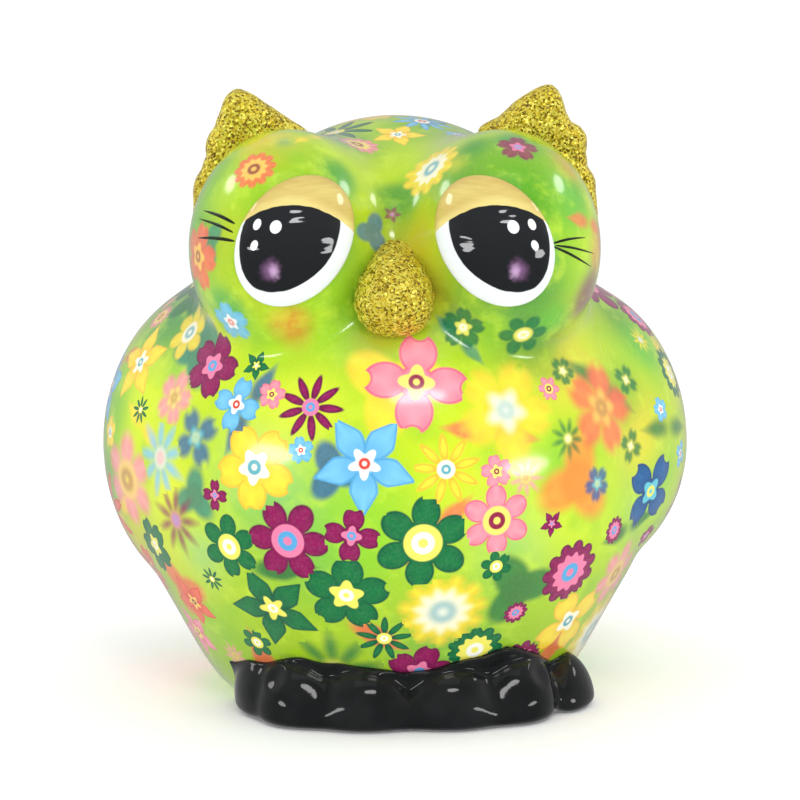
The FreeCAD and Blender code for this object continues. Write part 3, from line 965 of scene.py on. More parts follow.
class Coating(Wiring):
    """The wiring of one material, with its shader and the shared node groups at hand."""

    def __init__(self, tree: bpy.types.NodeTree, effects: Effects) -> None:
        """Keeps the groups and finds the shader.

        Args:
            tree: The material's nodes.
            effects: The shared node groups.
        """
        super().__init__(tree)
        self.effects = effects
        self.shader = tree.nodes["Principled BSDF"]

    def paint(self, colour: Socket) -> None:
        """Gives the surface its colour."""
        self.feed(self.shader.inputs["Base Color"], colour)

    def bump(self, height: Socket, depth: float) -> None:
        """Raises the surface by a relief of 0 to 1, which is so many millimetres high."""
        values = {"Strength": 1.0, "Distance": depth * MM, "Height": height}
        self.feed(self.shader.inputs["Normal"], self.filled(self.node("ShaderNodeBump"), values)["Normal"])

    def waves(self, size: float, depth: float) -> None:
        """Gives the surface the shallow waves of poured glaze, so many in a metre and so deep."""
        self.bump(self.effects.ripple.used(self, Place=self.place(), Size=size)["Height"], depth)


@dataclass(frozen=True)
class Finish:
    """A surface finish: plain numbers of its shader, and a method that wires what changes over it."""

    name: str
    roughness: float
    coat: float = 0.0
    coat_roughness: float = 0.03
    metallic: float = 0.0
    ior: float = 1.5
    specular: float = 0.5

    def material(self, effects: Effects) -> bpy.types.Material:
        """Builds the material.

        Args:
            effects: The shared node groups.

        Returns:
            The new material.
        """
        made = bpy.data.materials.new(self.name)
        made.use_nodes = True
        w = Coating(made.node_tree, effects)
        w.filled(w.shader, {
            "Roughness": self.roughness, "Coat Weight": self.coat, "Coat Roughness": self.coat_roughness,
            "Metallic": self.metallic, "IOR": self.ior, "Specular IOR Level": self.specular})
        self.wire(w)
        return made

    def wire(self, w: Coating) -> None:
        """Wires the parts of the finish that change over the surface."""
        raise NotImplementedError


@dataclass(frozen=True)
class LimeGlaze(Finish):
    """Airbrushed ground, two sheets of transfers and a thick clear glaze over them."""

    light: Tint = (214, 240, 60)
    deep: Tint = (112, 192, 40)
    grain: Point = (1.0, 1.0, 0.9)

    def wire(self, w: Coating) -> None:
        """Lays the sheets over the mottled ground, with fine print grain in the colour.

        Args:
            w: The material's coating.
        """
        colour = w.read("wash")["Color"]
        mottle = w.step(w.noise(w.place(), 130.0, 3.0, 0.6)["Fac"], 0.48, 0.72)
        colour = w.mix(w.times(mottle, 0.40), colour, linear(self.light))
        darker = w.step(w.noise(w.place(), 75.0)["Fac"], 0.54, 0.75)
        colour = w.mix(w.times(darker, 0.35), colour, linear(self.deep))
        for sheet in ("under", "over"):
            petal, tip, ring, core = (w.read(f"{sheet}_{key}") for key in ("petal", "tip", "ring", "core"))
            at, form, rings = (w.read(f"{sheet}_{key}")["Vector"] for key in ("at", "form", "rings"))
            colour = w.effects.bloom.used(
                w, Ground=colour, At=at, Form=form, Rings=rings, Petal=petal["Color"], Shown=petal["Alpha"],
                Tip=tip["Color"], Disc=tip["Alpha"], Ring=ring["Color"], Scallop=ring["Alpha"],
                Core=core["Color"])["Colour"]
        grain = w.step(w.noise(w.place(), 1400.0, 2.0, 0.7)["Fac"], 0.35, 0.8)
        w.paint(w.mix(w.times(grain, 0.03), colour, self.grain))
        w.waves(55.0, 0.22)


@dataclass(frozen=True)
class Spot:
    """A painted spot: an ellipse about a place, turned by an angle in degrees."""

    place: Pair
    half: Pair
    turn: float
    square: float = 2.0

    def share(self, w: Wiring, u: Socket, v: Socket) -> Socket:
        """How far out a place lies, as a share of the spot's edge.

        The place along and across the spot is divided by the half sizes. The share is the p-th
        root of the sum of their p-th powers, with p the squareness.

        Args:
            w: The material's wiring.
            u: The place outwards.
            v: The place upwards.

        Returns:
            0 in the middle and 1 on the edge.
        """
        cosine, sine = math.cos(math.radians(self.turn)), math.sin(math.radians(self.turn))
        wide, high = self.half
        du, dv = w.minus(u, self.place[0]), w.minus(v, self.place[1])
        along = w.plus(w.times(du, cosine / wide), w.times(dv, sine / wide))
        across = w.minus(w.times(dv, cosine / high), w.times(du, sine / high))
        powers = [w.math("POWER", w.math("ABSOLUTE", item), self.square) for item in (along, across)]
        return w.math("POWER", w.plus(*powers), 1 / self.square)


@dataclass(frozen=True)
class EyeEnamel(Finish):
    """Painted eye: gold lid, white, dark iris with three dots and a violet shine, under brushed varnish.

    The place on the eye is in millimetres, u outwards and v upwards. The lid lies above
    lid_top less lid_bow times (u - lid_middle) squared. The lid's light band at its lower edge is a
    painted highlight, its darkening outwards and at the rim painted shade, and the iris's lighter
    top a painted reflection.
    """

    lid: Tint = (220, 202, 120)
    # The next colour is both the lid's darker brush streaks and its painted shade.
    lid_streak_and_painted_shade: Tint = (192, 160, 88)
    # The next colour is the lid's painted highlight.
    lid_painted_highlight: Tint = (242, 226, 150)
    white: Tint = (234, 240, 242)
    white_shade: Tint = (222, 236, 238)
    iris: Tint = (31, 33, 35)
    # The next colour is a painted reflection: the iris lighter towards its top.
    iris_painted_reflection: Tint = (44, 46, 49)
    shine: Tint = (140, 100, 142)
    glow: Tint = (204, 170, 208)
    dot: Point = (0.95, 0.96, 0.97)
    rim: Tint = (120, 176, 70)
    iris_spot: Spot = Spot((1.16, 1.68), (10.43, 14.38), 33.0, 1.78)
    shine_spot: Spot = Spot((5.2, -6.1), (2.2, 2.6), 18.0)
    glow_spot: Spot = Spot((4.4, -6.4), (1.2, 1.7), -10.0)
    dots: tuple[Spot, ...] = (Spot((4.0, 3.4), (1.22, 1.46), 24.0), Spot((8.15, 3.95), (0.84, 1.3), 24.0),
                              Spot((8.75, -0.7), (0.78, 1.18), 24.0))
    lid_top: float = 8.2
    lid_middle: float = 0.85
    lid_bow: float = 0.031

    def eyeball(self, w: Wiring, at: Socket, u: Socket, v: Socket, streak: Socket) -> Socket:
        """Paints white, iris with a painted reflection at its top, shine and dots.

        Args:
            w: The material's wiring.
            at: The place on the eye and the share of its rim.
            u: The place outwards, with a wobble.
            v: The place upwards, with a wobble.
            streak: The brush's streaks.

        Returns:
            The colour.
        """
        u_even, v_even, _ = w.split(at)
        white = w.mix(w.times(streak, 0.25), linear(self.white), linear(self.white_shade))
        within = self.iris_spot.share(w, u, v)
        # Painted reflection: the iris is lighter towards its top.
        dark = w.mix(w.times(w.step(v, -8.0, 9.0), 0.5), linear(self.iris), linear(self.iris_painted_reflection))
        colour = w.mix(w.step(within, 1.012, 0.988), white, dark)
        soft = w.noise(at, 0.9)["Fac"]
        shine = w.plus(self.shine_spot.share(w, u, v), w.times(soft, 0.7))
        colour = w.mix(w.times(w.step(shine, 1.7, 0.55), 0.7), colour, linear(self.shine))
        glow = w.plus(self.glow_spot.share(w, u, v), w.times(soft, 0.8))
        colour = w.mix(w.times(w.step(glow, 1.7, 0.5), 0.75), colour, linear(self.glow))
        for dot in self.dots:
            colour = w.mix(w.step(dot.share(w, u_even, v_even), 1.08, 0.94), colour, self.dot)
        return colour

    def wire(self, w: Coating) -> None:
        """Paints the eyeball, then the lid with painted highlight and shade and the rim over it, and brushes
        varnish on.

        Args:
            w: The material's coating.
        """
        at = w.read("eye_at")["Vector"]
        wobble = w.vector("SUBTRACT", w.noise(at, 0.35, 1.0)["Color"], (0.5, 0.5, 0.5))
        u, v, _ = w.split(w.vector("ADD", at, w.vector("MULTIPLY", wobble, (0.5, 0.5, 0.0))))
        _, _, edge = w.split(at)
        fine, broad = (w.effects.brush.used(w, Place=at, Fine=scale)["Streak"] for scale in (0.9, 0.32))
        bow = w.math("POWER", w.minus(u, self.lid_middle), 2.0)
        above = w.minus(v, w.minus(self.lid_top, w.times(bow, self.lid_bow)))
        satin = w.plus(0.42, w.times(w.step(broad, 0.34, 0.66), 0.58))
        gold = w.mix(satin, linear(self.lid_streak_and_painted_shade), linear(self.lid))
        # Painted shade: the lid darkens outwards and towards the rim of the dome.
        outwards, rim = w.times(w.step(u, 1.0, 11.0), 0.45), w.times(w.step(edge, 0.84, 1.0), 0.6)
        gold = w.mix(w.math("MAXIMUM", outwards, rim), gold, linear(self.lid_streak_and_painted_shade))
        # Painted highlight: the lid is lighter just above its lower edge.
        gold = w.mix(w.times(w.step(above, 2.6, 0.2), 0.45), gold, linear(self.lid_painted_highlight))
        colour = w.mix(w.step(above, -0.08, 0.08), self.eyeball(w, at, u, v, fine), gold)
        seam = w.times(w.step(edge, 0.972, 1.0), 0.75)
        w.paint(w.mix(seam, colour, linear(self.rim)))
        ridges = w.noise(w.vector("MULTIPLY", at, (0.35, 1.0, 1.0)), 0.34, 1.0, 0.4)["Fac"]
        w.bump(ridges, 0.40)


@dataclass(frozen=True)
class GoldGlitter(Finish):
    """Gold glitter set in clear varnish."""

    size: float = 2200.0
    tilt: float = 0.9
    dark: Tint = (124, 96, 20)
    middle: Tint = (232, 204, 50)
    bright: Tint = (253, 242, 104)

    def wire(self, w: Coating) -> None:
        """Gives each flake its own colour and lean.

        Args:
            w: The material's coating.
        """
        flakes = w.effects.flakes.used(
            w, Place=w.place(), Size=self.size, Tilt=self.tilt, Dark=linear(self.dark),
            Middle=linear(self.middle), Bright=linear(self.bright))
        w.filled(w.shader, {"Base Color": flakes["Colour"], "Normal": flakes["Normal"]})


@dataclass(frozen=True)
class BlackGlaze(Finish):
    """Thick black glaze, a little darker where it pools, with waves that break up what it mirrors."""

    pooled: Tint = (27, 28, 29)
    thin: Tint = (36, 37, 38)

    def wire(self, w: Coating) -> None:
        """Wires the pools and the waves.

        Args:
            w: The material's coating.
        """
        cloud = w.step(w.noise(w.place(), 90.0)["Fac"], 0.35, 0.7)
        w.paint(w.mix(cloud, linear(self.pooled), linear(self.thin)))
        w.waves(70.0, 0.20)


@dataclass(frozen=True)
class LashPaint(Finish):
    """Dark green-black brush paint that lets some green through along the stroke."""

    dark: Tint = (14, 18, 10)
    green: Tint = (52, 84, 20)

    def wire(self, w: Coating) -> None:
        """Wires the streaks."""
        streak = w.times(w.effects.brush.used(w, Place=w.place(), Fine=900.0)["Streak"], 0.25)
        w.paint(w.mix(streak, linear(self.dark), linear(self.green)))


@dataclass(frozen=True)
class Bisque(Finish):
    """Fired clay without glaze: warm white, matt and finely grained, with a few iron specks."""

    pale: Tint = (232, 226, 212)
    rubbed: Tint = (214, 203, 184)
    iron: Tint = (150, 128, 104)

    def wire(self, w: Coating) -> None:
        """Wires the rubbed tone, the specks and the grain.

        Args:
            w: The material's coating.
        """
        cloud = w.step(w.noise(w.place(), 60.0, 3.0)["Fac"], 0.3, 0.75)
        specks = w.step(w.noise(w.place(), 700.0, 0.0)["Fac"], 0.76, 0.80)
        colour = w.mix(cloud, linear(self.pale), linear(self.rubbed))
        w.paint(w.mix(w.times(specks, 0.5), colour, linear(self.iron)))
        w.bump(w.noise(w.place(), 1500.0, 3.0, 0.7)["Fac"], 0.06)


@dataclass(frozen=True)
class Rubber(Finish):
    """Soft black stopper rubber, greyed unevenly by dust, with a fine matt grain."""

    black: Tint = (34, 34, 35)
    dusty: Tint = (66, 65, 62)

    def wire(self, w: Coating) -> None:
        """Wires the dust and the grain.

        Args:
            w: The material's coating.
        """
        dust = w.step(w.noise(w.place(), 180.0, 4.0, 0.6)["Fac"], 0.45, 0.8)
        w.paint(w.mix(dust, linear(self.black), linear(self.dusty)))
        w.bump(w.noise(w.place(), 2600.0)["Fac"], 0.03)


@dataclass
class Finishes:
    """All materials of the bank, each built once, when it is first asked for."""

    effects: Effects = field(default_factory=Effects)
    made: dict[str, bpy.types.Material] = field(default_factory=dict)
    kinds: tuple[Finish, ...] = (
        LimeGlaze("lime glaze", 0.30, coat=1.0, coat_roughness=0.12, specular=0.2),
        EyeEnamel("eye enamel", 0.06),
        GoldGlitter("gold glitter", 0.35, metallic=0.45),
        BlackGlaze("black glaze", 0.07, specular=0.26),
        LashPaint("lash paint", 0.25),
        Bisque("bisque", 0.85, specular=0.3),
        Rubber("stopper rubber", 0.6),
    )

    def __getitem__(self, name: str) -> bpy.types.Material:
        """Finds or builds a material.

        Args:
            name: The finish's name.

        Returns:
            The material of that name.
        """
        if name not in self.made:
            kind = next(kind for kind in self.kinds if kind.name == name)
            self.made[name] = kind.material(self.effects)
        return self.made[name]


def finished(piece: bpy.types.Object, body: str, slot: str, nodes: tuple[str, ...],
             *materials: bpy.types.Material) -> bpy.types.Object:
    """Args:
        piece: The piece.
        body: The body that it rides on.
        slot: The record's slot of its finish; not used.
        nodes: The nodes that it stands for, if any.
        materials: Its materials, in the order of its faces' numbers.

    Returns:
        The piece.
    """
    for material in materials:
        piece.data.materials.append(material)
    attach(piece, body)
    if nodes:
        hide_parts(*nodes)
    log.info("%s: %d vertices, %d faces", piece.name, len(piece.data.vertices), len(piece.data.polygons))
    return piece


# --- the owl -------------------------------


@dataclass
class OwlForm:
    """The owl's outer forms, melted together where the slip runs into the valleys."""

    base_radius: float = 45.0
    base_round: float = 2.5
    girth_height: float = 60.0
    neck_radius: float = 16.0
    neck_rise: float = 61.0
    crown_half: Point = (49.0, 48.0, 50.0)
    crown_set_back: float = 5.0
    lobe_half: Point = (24.6, 28.5, 29.5)
    lobe_spread: float = 26.6
    lobe_reach: float = 34.0
    lobe_rise: float = 19.6
    valley: float = 5.0
    brow_valley: float = 17.0
    bridge_valley: float = 13.0
    wall: float = 4.5
    tuck: float = 2.8
    tuck_height: float = 21.0
    tuck_width: float = 17.0
    lean: float = -0.9
    wing_half: Point = (34.7, 45.0, 42.8)
    wing_half_below: Pair = (36.8, 43.0)
    wing_set_back: float = 4.0
    wing_rise: float = 2.5
    wing_valley: float = 2.6
    floor: float = 8.0

    def __post_init__(self) -> None:
        """Places crown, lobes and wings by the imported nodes' boxes."""
        low, high = cad_box("body_shell")
        self.girth_radius = float(high[0] - low[0]) / 2
        crown_height = float(high[2]) - self.crown_half[2]
        lobe_height = crown_height + self.lobe_rise
        self.lobe_centre = np.array([self.lobe_spread, -self.lobe_reach, lobe_height])
        self.crown = Ellipsoid((0, self.crown_set_back, crown_height), self.crown_half)
        self.lobes = [Ellipsoid((side * self.lobe_spread, -self.lobe_reach, lobe_height), self.lobe_half)
                      for side in (1, -1)]
        wing_side = float(cad_box("wing_left")[1][0]) + 0.5 - self.wing_half[0]
        self.wing_centre = (wing_side, self.wing_set_back, self.girth_height + self.wing_rise)
        self.wing_above = Ellipsoid(self.wing_centre, self.wing_half, twin=True)
        self.wing_below = [Ellipsoid(self.wing_centre, (*self.wing_half[:2], half), twin=True)
                           for half in self.wing_half_below]

    def arc(self, end_radius: float, rise: float) -> Pair:
        """Centre, out from the axis, and radius of an arc that is upright at the girth.

        The centre is (girth squared - end squared - rise squared) over twice (girth - end).

        Args:
            end_radius: The belly's radius where the arc ends.
            rise: How far from the girth that is.

        Returns:
            The centre and the radius.
        """
        girth = self.girth_radius
        centre = (girth**2 - end_radius**2 - rise**2) / (2 * (girth - end_radius))
        return centre, girth - centre

    def torso(self, points: Array) -> Array:
        """Distance to the turned belly: one arc below the girth and one above it.

        Low down the belly is drawn in by tuck times e to the minus (height from the tuck over its
        width) squared.

        Args:
            points: Places to read.

        Returns:
            A distance each, below 0 inside.
        """
        out = np.hypot(points[..., 0] - self.lean, points[..., 1])
        up = points[..., 2] - self.girth_height
        (low_centre, low_radius), (high_centre, high_radius) = (
            self.arc(self.base_radius, self.girth_height), self.arc(self.neck_radius, self.neck_rise))
        below = np.hypot(out - low_centre, up) - low_radius
        above = np.hypot(np.maximum(out - high_centre, 0), up) - high_radius
        drawn_in = self.tuck * np.exp(-(((points[..., 2] - self.tuck_height) / self.tuck_width) ** 2))
        return np.where(up < 0, below, above) + drawn_in

    def wings(self, points: Array) -> Array:
        """Distance to the wings: below their middle the left one ends higher than the right one."""
        below = np.where(points[..., 0] > 0, *(wing(points) for wing in self.wing_below))
        return np.where(points[..., 2] > self.wing_centre[2], self.wing_above(points), below)

    def whole(self, points: Array) -> Array:
        """Belly, crown and eye lobes melted together, without the cut at the table.

        Args:
            points: Places to read.

        Returns:
            A distance each, below 0 inside.
        """
        left, right = (lobe(points) for lobe in self.lobes)
        head = melt(melt(left, right, self.bridge_valley), self.crown(points), self.brow_valley)
        return melt(head, self.torso(points), self.valley)

    def body(self, points: Array) -> Array:
        """The body's outside, standing on the table."""
        return trim(self.whole(points), -points[..., 2], self.base_round)

    def winged(self, points: Array) -> Array:
        """The body's outside with its wings: a wide valley at the shoulder and a tight fold low down."""
        width = 1.2 + self.wing_valley * smooth_step(points[..., 2], 48, 92)
        return melt(self.body(points), self.wings(points), width)

    def inside(self, points: Array) -> Array:
        """The hollow: the whole form drawn in by the wall, over the floor."""
        return trim(self.whole(points) + self.wall, self.floor - points[..., 2], 3.0)


@dataclass
class Body:
    """The hollow body with its coin slot and its underside, as one closed skin."""

    form: OwlForm
    columns: int = 440
    outer_rows: int = 166
    inner_rows: int = 26
    middle: Point = (0.0, 0.0, 80.0)
    crowding: float = 0.32
    ring: float = 30.6
    hole: float = 17.0
    slot_above_crown: float = 26.0
    slot_half_length: float = 18.0
    slot_half_gap: float = 2.5
    slot_lip: float = 1.4

    def rows(self) -> Array:
        """All rows of the skin from the top of the head to the top of the hollow.

        The columns' turn is t - crowding sin t, which sets them closer at the owl's face. Rows
        are rays from the middle, then the foot ring, recess and hole as turned points, then
        rays to the hollow.

        Returns:
            The points by row and column.
        """
        t = np.linspace(0, 2 * math.pi, self.columns, endpoint=False)
        turn = t - self.crowding * np.sin(t) - math.pi / 2
        last = math.pi - math.atan2(self.ring, self.middle[2])
        outer = self.cast(self.form.body, np.linspace(0, last, self.outer_rows + 1)[1:], turn)
        hole, floor = self.hole, self.form.floor
        under = np.array([(30.2, 0.12), (30.0, 0.6), (30.0, 2.4), (29.4, 3.0), (24.0, 3.0), (hole + 0.7, 3.0),
                          (hole + 0.1, 3.4), (hole, 4.2), (hole, 7.2), (hole + 0.8, floor)])
        start = math.pi - math.atan2(hole + 2.0, self.middle[2] - floor)
        inner = self.cast(self.form.inside, np.linspace(start, 0, self.inner_rows + 1)[:-1], turn)
        return np.concatenate([outer, turned(under, turn), inner])

    def cast(self, shape: Field, down: Array, turn: Array) -> Array:
        """Where rays from the middle last meet a shape.

        Args:
            shape: Below 0 inside.
            down: The rays' angles from straight up, one a row.
            turn: Their turns about the upright axis, one a column.

        Returns:
            The points by row and column.
        """
        middle = np.array(self.middle)
        aim = turned(np.stack([np.sin(down), np.cos(down)], axis=-1), turn)
        return middle + aim * outermost(shape, middle, aim, REACH)[..., None]

    def slot_cutter(self) -> bpy.types.Object:
        """A tool for the coin slot: a rounded oblong carried inwards, flared at the lip.

        Behind the surface by d, the outline stands out by lip - sqrt(lip squared - (lip - d)
        squared), so that the lip is a quarter round. Outside, the tool rises to a point, so
        that it stands clear of the round head all over.

        Returns:
            The tool.
        """
        height = self.form.crown.centre[2] + self.slot_above_crown
        end = np.linspace(-math.pi / 2, math.pi / 2, 25)
        along = np.linspace(1, -1, 32)[1:-1]
        flat, round_end = np.full(len(along), math.pi / 2), np.ones(len(end))
        t = np.concatenate([end, flat, end + math.pi, -flat])
        side = np.concatenate([round_end, along, -round_end, -along])
        straight = self.slot_half_length - self.slot_half_gap
        depths = np.array([-1.5, -0.6, 0.0, 0.12, 0.3, 0.6, 0.95, 1.4, 4.0, 9.0, 14.0])
        behind = np.clip(self.slot_lip - depths, 0, self.slot_lip)
        flare = self.slot_lip - np.sqrt((self.slot_lip - behind) * (self.slot_lip + behind))
        reach = self.slot_half_gap + flare[:, None]
        x = straight * side + reach * np.cos(t)
        z = height + reach * np.sin(t)
        origin = np.stack([x, np.zeros_like(x), z], axis=-1)
        back = np.broadcast_to(np.array([0.0, 1.0, 0.0]), origin.shape)
        surface = outermost(self.form.body, origin, back, 70)
        rows = np.stack([x, surface - depths[:, None], z], axis=-1)
        first, last = np.array([0.0, surface.max() + 4.0, height]), rows[-1].mean(axis=0)
        return skin_piece("slot_cutter", rows, first, last)

    def build(self, finishes: Finishes, wash: Wash, transfers: Transfers) -> bpy.types.Object:
        """Makes the skin, cuts the slot, then paints glaze outside and leaves bare clay inside.

        Args:
            finishes: The bank's materials.
            wash: The ground colour.
            transfers: The flowers.

        Returns:
            The body.
        """
        rows = self.rows()
        top = np.array([0.0, 0.0, rows[0, :, 2].max()])
        ceiling = np.array([0.0, 0.0, rows[-1, :, 2].max()])
        piece = skin_piece("owl_body", rows, top, ceiling)
        cutter = self.slot_cutter()
        cut = piece.modifiers.new("coin slot", "BOOLEAN")
        cut.operation = "DIFFERENCE"
        cut.object = cutter
        cut.solver = "MANIFOLD"
        bpy.context.view_layer.update()
        mesh = bpy.data.meshes.new_from_object(piece.evaluated_get(bpy.context.evaluated_depsgraph_get()))
        piece.modifiers.clear()
        piece.data = mesh
        mesh.name = "owl_body"
        mesh.materials.clear()
        bpy.data.objects.remove(cutter)
        wash.dress(mesh)
        transfers.dress(mesh)
        middles = middles_of(mesh)
        bare = (self.form.whole(middles) < -1.2) | (middles[:, 2] < 0.3)
        finished(piece, OWL, "lime_glaze", ("body_shell",), finishes["lime glaze"], finishes["bisque"])
        mesh.polygons.foreach_set("material_index", bare.astype(np.int32))
        return piece


@dataclass
class Relief:
    """A form that stands out of the body, as a skin that dips under the body's surface at its edge."""

    raised: Field
    ground: Field
    origin: Array
    axis: Array
    widest: float
    columns: int
    rows: int
    sink: float = 0.8
    trials: int = 220
    least_proud: float = 0.03
    crowding: float = 1.35
    inner_rows: int = 8
    dip: float = 0.25

    def reach(self, shape: Field, rays: Array) -> Array:
        """How far along rays from the origin a shape is last crossed."""
        return outermost(shape, self.origin, rays, REACH)

    def skin(self) -> Skin:
        """Rows and poles of the skin.

        Rays leave the origin at an angle r from the axis and a turn a round it. For each turn,
        the edge is the least r where the raised form stands less than least_proud out of the
        ground. The outer rows lie on the raised form at r = edge times s and end in the ground
        by the dip, and the inner rows lie below the ground by the sink.

        Returns:
            The rows, the pole outside and the pole inside.
        """
        axis = unit(self.axis)
        across = unit(np.cross(UP, axis))
        up = np.cross(axis, across)
        turn = np.linspace(0, 2 * math.pi, self.columns, endpoint=False)
        around = np.cos(turn)[:, None] * across + np.sin(turn)[:, None] * up

        def aim(angle: Array) -> Array:
            """Directions at these angles from the axis, one for each turn."""
            return np.cos(angle)[..., None] * axis + np.sin(angle)[..., None] * around

        trial = np.linspace(0.02, self.widest, self.trials)[:, None] * np.ones(self.columns)
        rays = aim(trial)
        proud = self.reach(self.raised, rays) - self.reach(self.ground, rays)
        edge = trial[np.argmax(proud < self.least_proud, axis=0), 0]
        edge = (edge + np.roll(edge, 1) + np.roll(edge, -1)) / 3
        share = 1 - (1 - np.linspace(0, 1, self.rows + 1)[1:]) ** self.crowding
        rays = aim(share[:, None] * edge)
        outer = self.reach(self.raised, rays)
        outer[-1] = self.reach(self.ground, rays[-1]) - self.dip
        back = aim(np.linspace(1, 0, self.inner_rows + 1)[:-1, None] * edge)
        inner = self.reach(self.ground, back) - self.sink
        points = self.origin + np.concatenate([rays * outer[..., None], back * inner[..., None]])
        outside, inside = (self.origin + axis * (self.reach(shape, axis[None])[0] - drop)
                           for shape, drop in ((self.raised, 0.0), (self.ground, self.sink)))
        return points, outside, inside


@dataclass
class Wings:
    """Two smooth wings that run out of the shoulders and end in a fold low at the front."""

    form: OwlForm

    def build(self, finishes: Finishes, wash: Wash, transfers: Transfers) -> None:
        """Makes both wings on the same melted surface as the body.

        Args:
            finishes: The bank's materials.
            wash: The ground colour.
            transfers: The flowers.
        """
        origin = np.array([0.0, 0.0, 66.0])
        aim = np.array(self.form.wing_centre) * np.array([2.0, 1.0, 1.0]) - origin
        for side in Side:
            relief = Relief(self.form.winged, self.form.body, origin, mirrored(aim, side),
                            math.radians(80), 240, 72)
            piece = skin_piece(f"wing_{side.label}_glazed", *relief.skin())
            wash.dress(piece.data)
            transfers.dress(piece.data)
            finished(piece, OWL, "lime_glaze", (f"wing_{side.label}",), finishes["lime glaze"])


@dataclass
class Feet:
    """Two black feet of three toes each on one low band, with grooves between the toes.

    A thin cuff carries them up the belly to a wavy edge that is lowest between the feet. The
    pair is turned a little to the owl's left about the upright axis, which the turned belly
    allows without leaving it.
    """

    form: OwlForm
    toes: tuple[Numbers, ...] = (
        (10.4, -47.4, 4.5, 11.4, 12.0, 2.2), (26.3, -42.0, 4.5, 11.0, 12.6, 2.2))
    outer_toes: tuple[Numbers, ...] = (
        (41.0, -31.0, 1.6, 8.2, 11.8, 1.75), (36.4, -31.5, 4.5, 6.6, 11.2, 2.2))
    band: Ellipsoid = Ellipsoid((0.0, -36.0, 1.5), (37.5, 22.8, 7.8), 2.8)
    scoops: tuple[Numbers, ...] = (
        (0.5, -69.5, 18.5, 11.5), (19.0, -68.4, 18.0, 10.5), (37.0, -53.5, 15.0, 8.5))
    cuff: float = 1.5
    cuff_height: float = 14.0
    cuff_rise: Pair = (5.0, 2.8)
    cuff_fall: Pair = (8.5, 4.4)
    toe_depth: float = 12.5
    valley: float = 3.6
    turn: float = 3.8

    def foot(self, points: Array, side: Side) -> Array:
        """Distance to one foot: toes and band melted together, scooped, joined to the cuff and cut.

        The cuff is the belly grown by its thickness. It lies below height + rise times a smooth
        step outwards - fall times another past the middle toe + a small sine wave. The table,
        the middle and a slanting plane at the outer toe cut the whole.

        Args:
            points: Places to read, mirrored to the left for the right foot.
            side: Which foot.

        Returns:
            A distance each, below 0 inside.
        """
        own = 0 if side is Side.LEFT else 1
        near = self.band(points)
        for x, y, z, half_width, half_height, square in (*self.toes, self.outer_toes[own]):
            toe = Ellipsoid((x, y, z), (half_width, self.toe_depth, half_height), square)(points)
            near = melt(near, toe, self.valley)
        for x, y, z, radius in self.scoops:
            near = trim(near, -Ellipsoid((x, y, z), (radius * 0.8, radius, radius * 0.8))(points), 0.9)
        out = points[..., 0]
        edge = (self.cuff_height + self.cuff_rise[own] * smooth_step(out, -1, 27)
                - self.cuff_fall[own] * smooth_step(out, 26, 41) + 0.35 * np.sin(0.55 * out + side.value))
        cuff = trim(self.form.whole(points) - self.cuff, points[..., 2] - edge, 0.8)
        cuff = trim(cuff, 0.6 * out + 0.8 * points[..., 1] - 4.0, 1.5)
        near = trim(melt(near, cuff, 1.5), -1.0 - out, 0.5)
        return trim(near, -points[..., 2], 2.4)

    def build(self, finishes: Finishes) -> None:
        """Makes both feet.

        Args:
            finishes: The bank's materials.
        """
        origin = np.array([17.0, -20.0, 5.0])
        cosine, sine = math.cos(math.radians(self.turn)), math.sin(math.radians(self.turn))
        about = np.array([[cosine, sine, 0.0], [-sine, cosine, 0.0], UP])
        for side in Side:
            def raised(points: Array) -> Array:
                """Distance to the body and this foot together."""
                return np.minimum(self.form.body(points), self.foot(points, side))

            relief = Relief(raised, self.form.body, origin, np.array([0.35, -1.0, 0.0]),
                            math.radians(125), 260, 96, sink=1.6)
            skin = (mirrored(part, side) @ about for part in relief.skin())
            piece = skin_piece(f"foot_{side.label}_glazed", *skin)
            finished(piece, OWL, "black_glaze", (f"foot_{side.label}",), finishes["black glaze"])


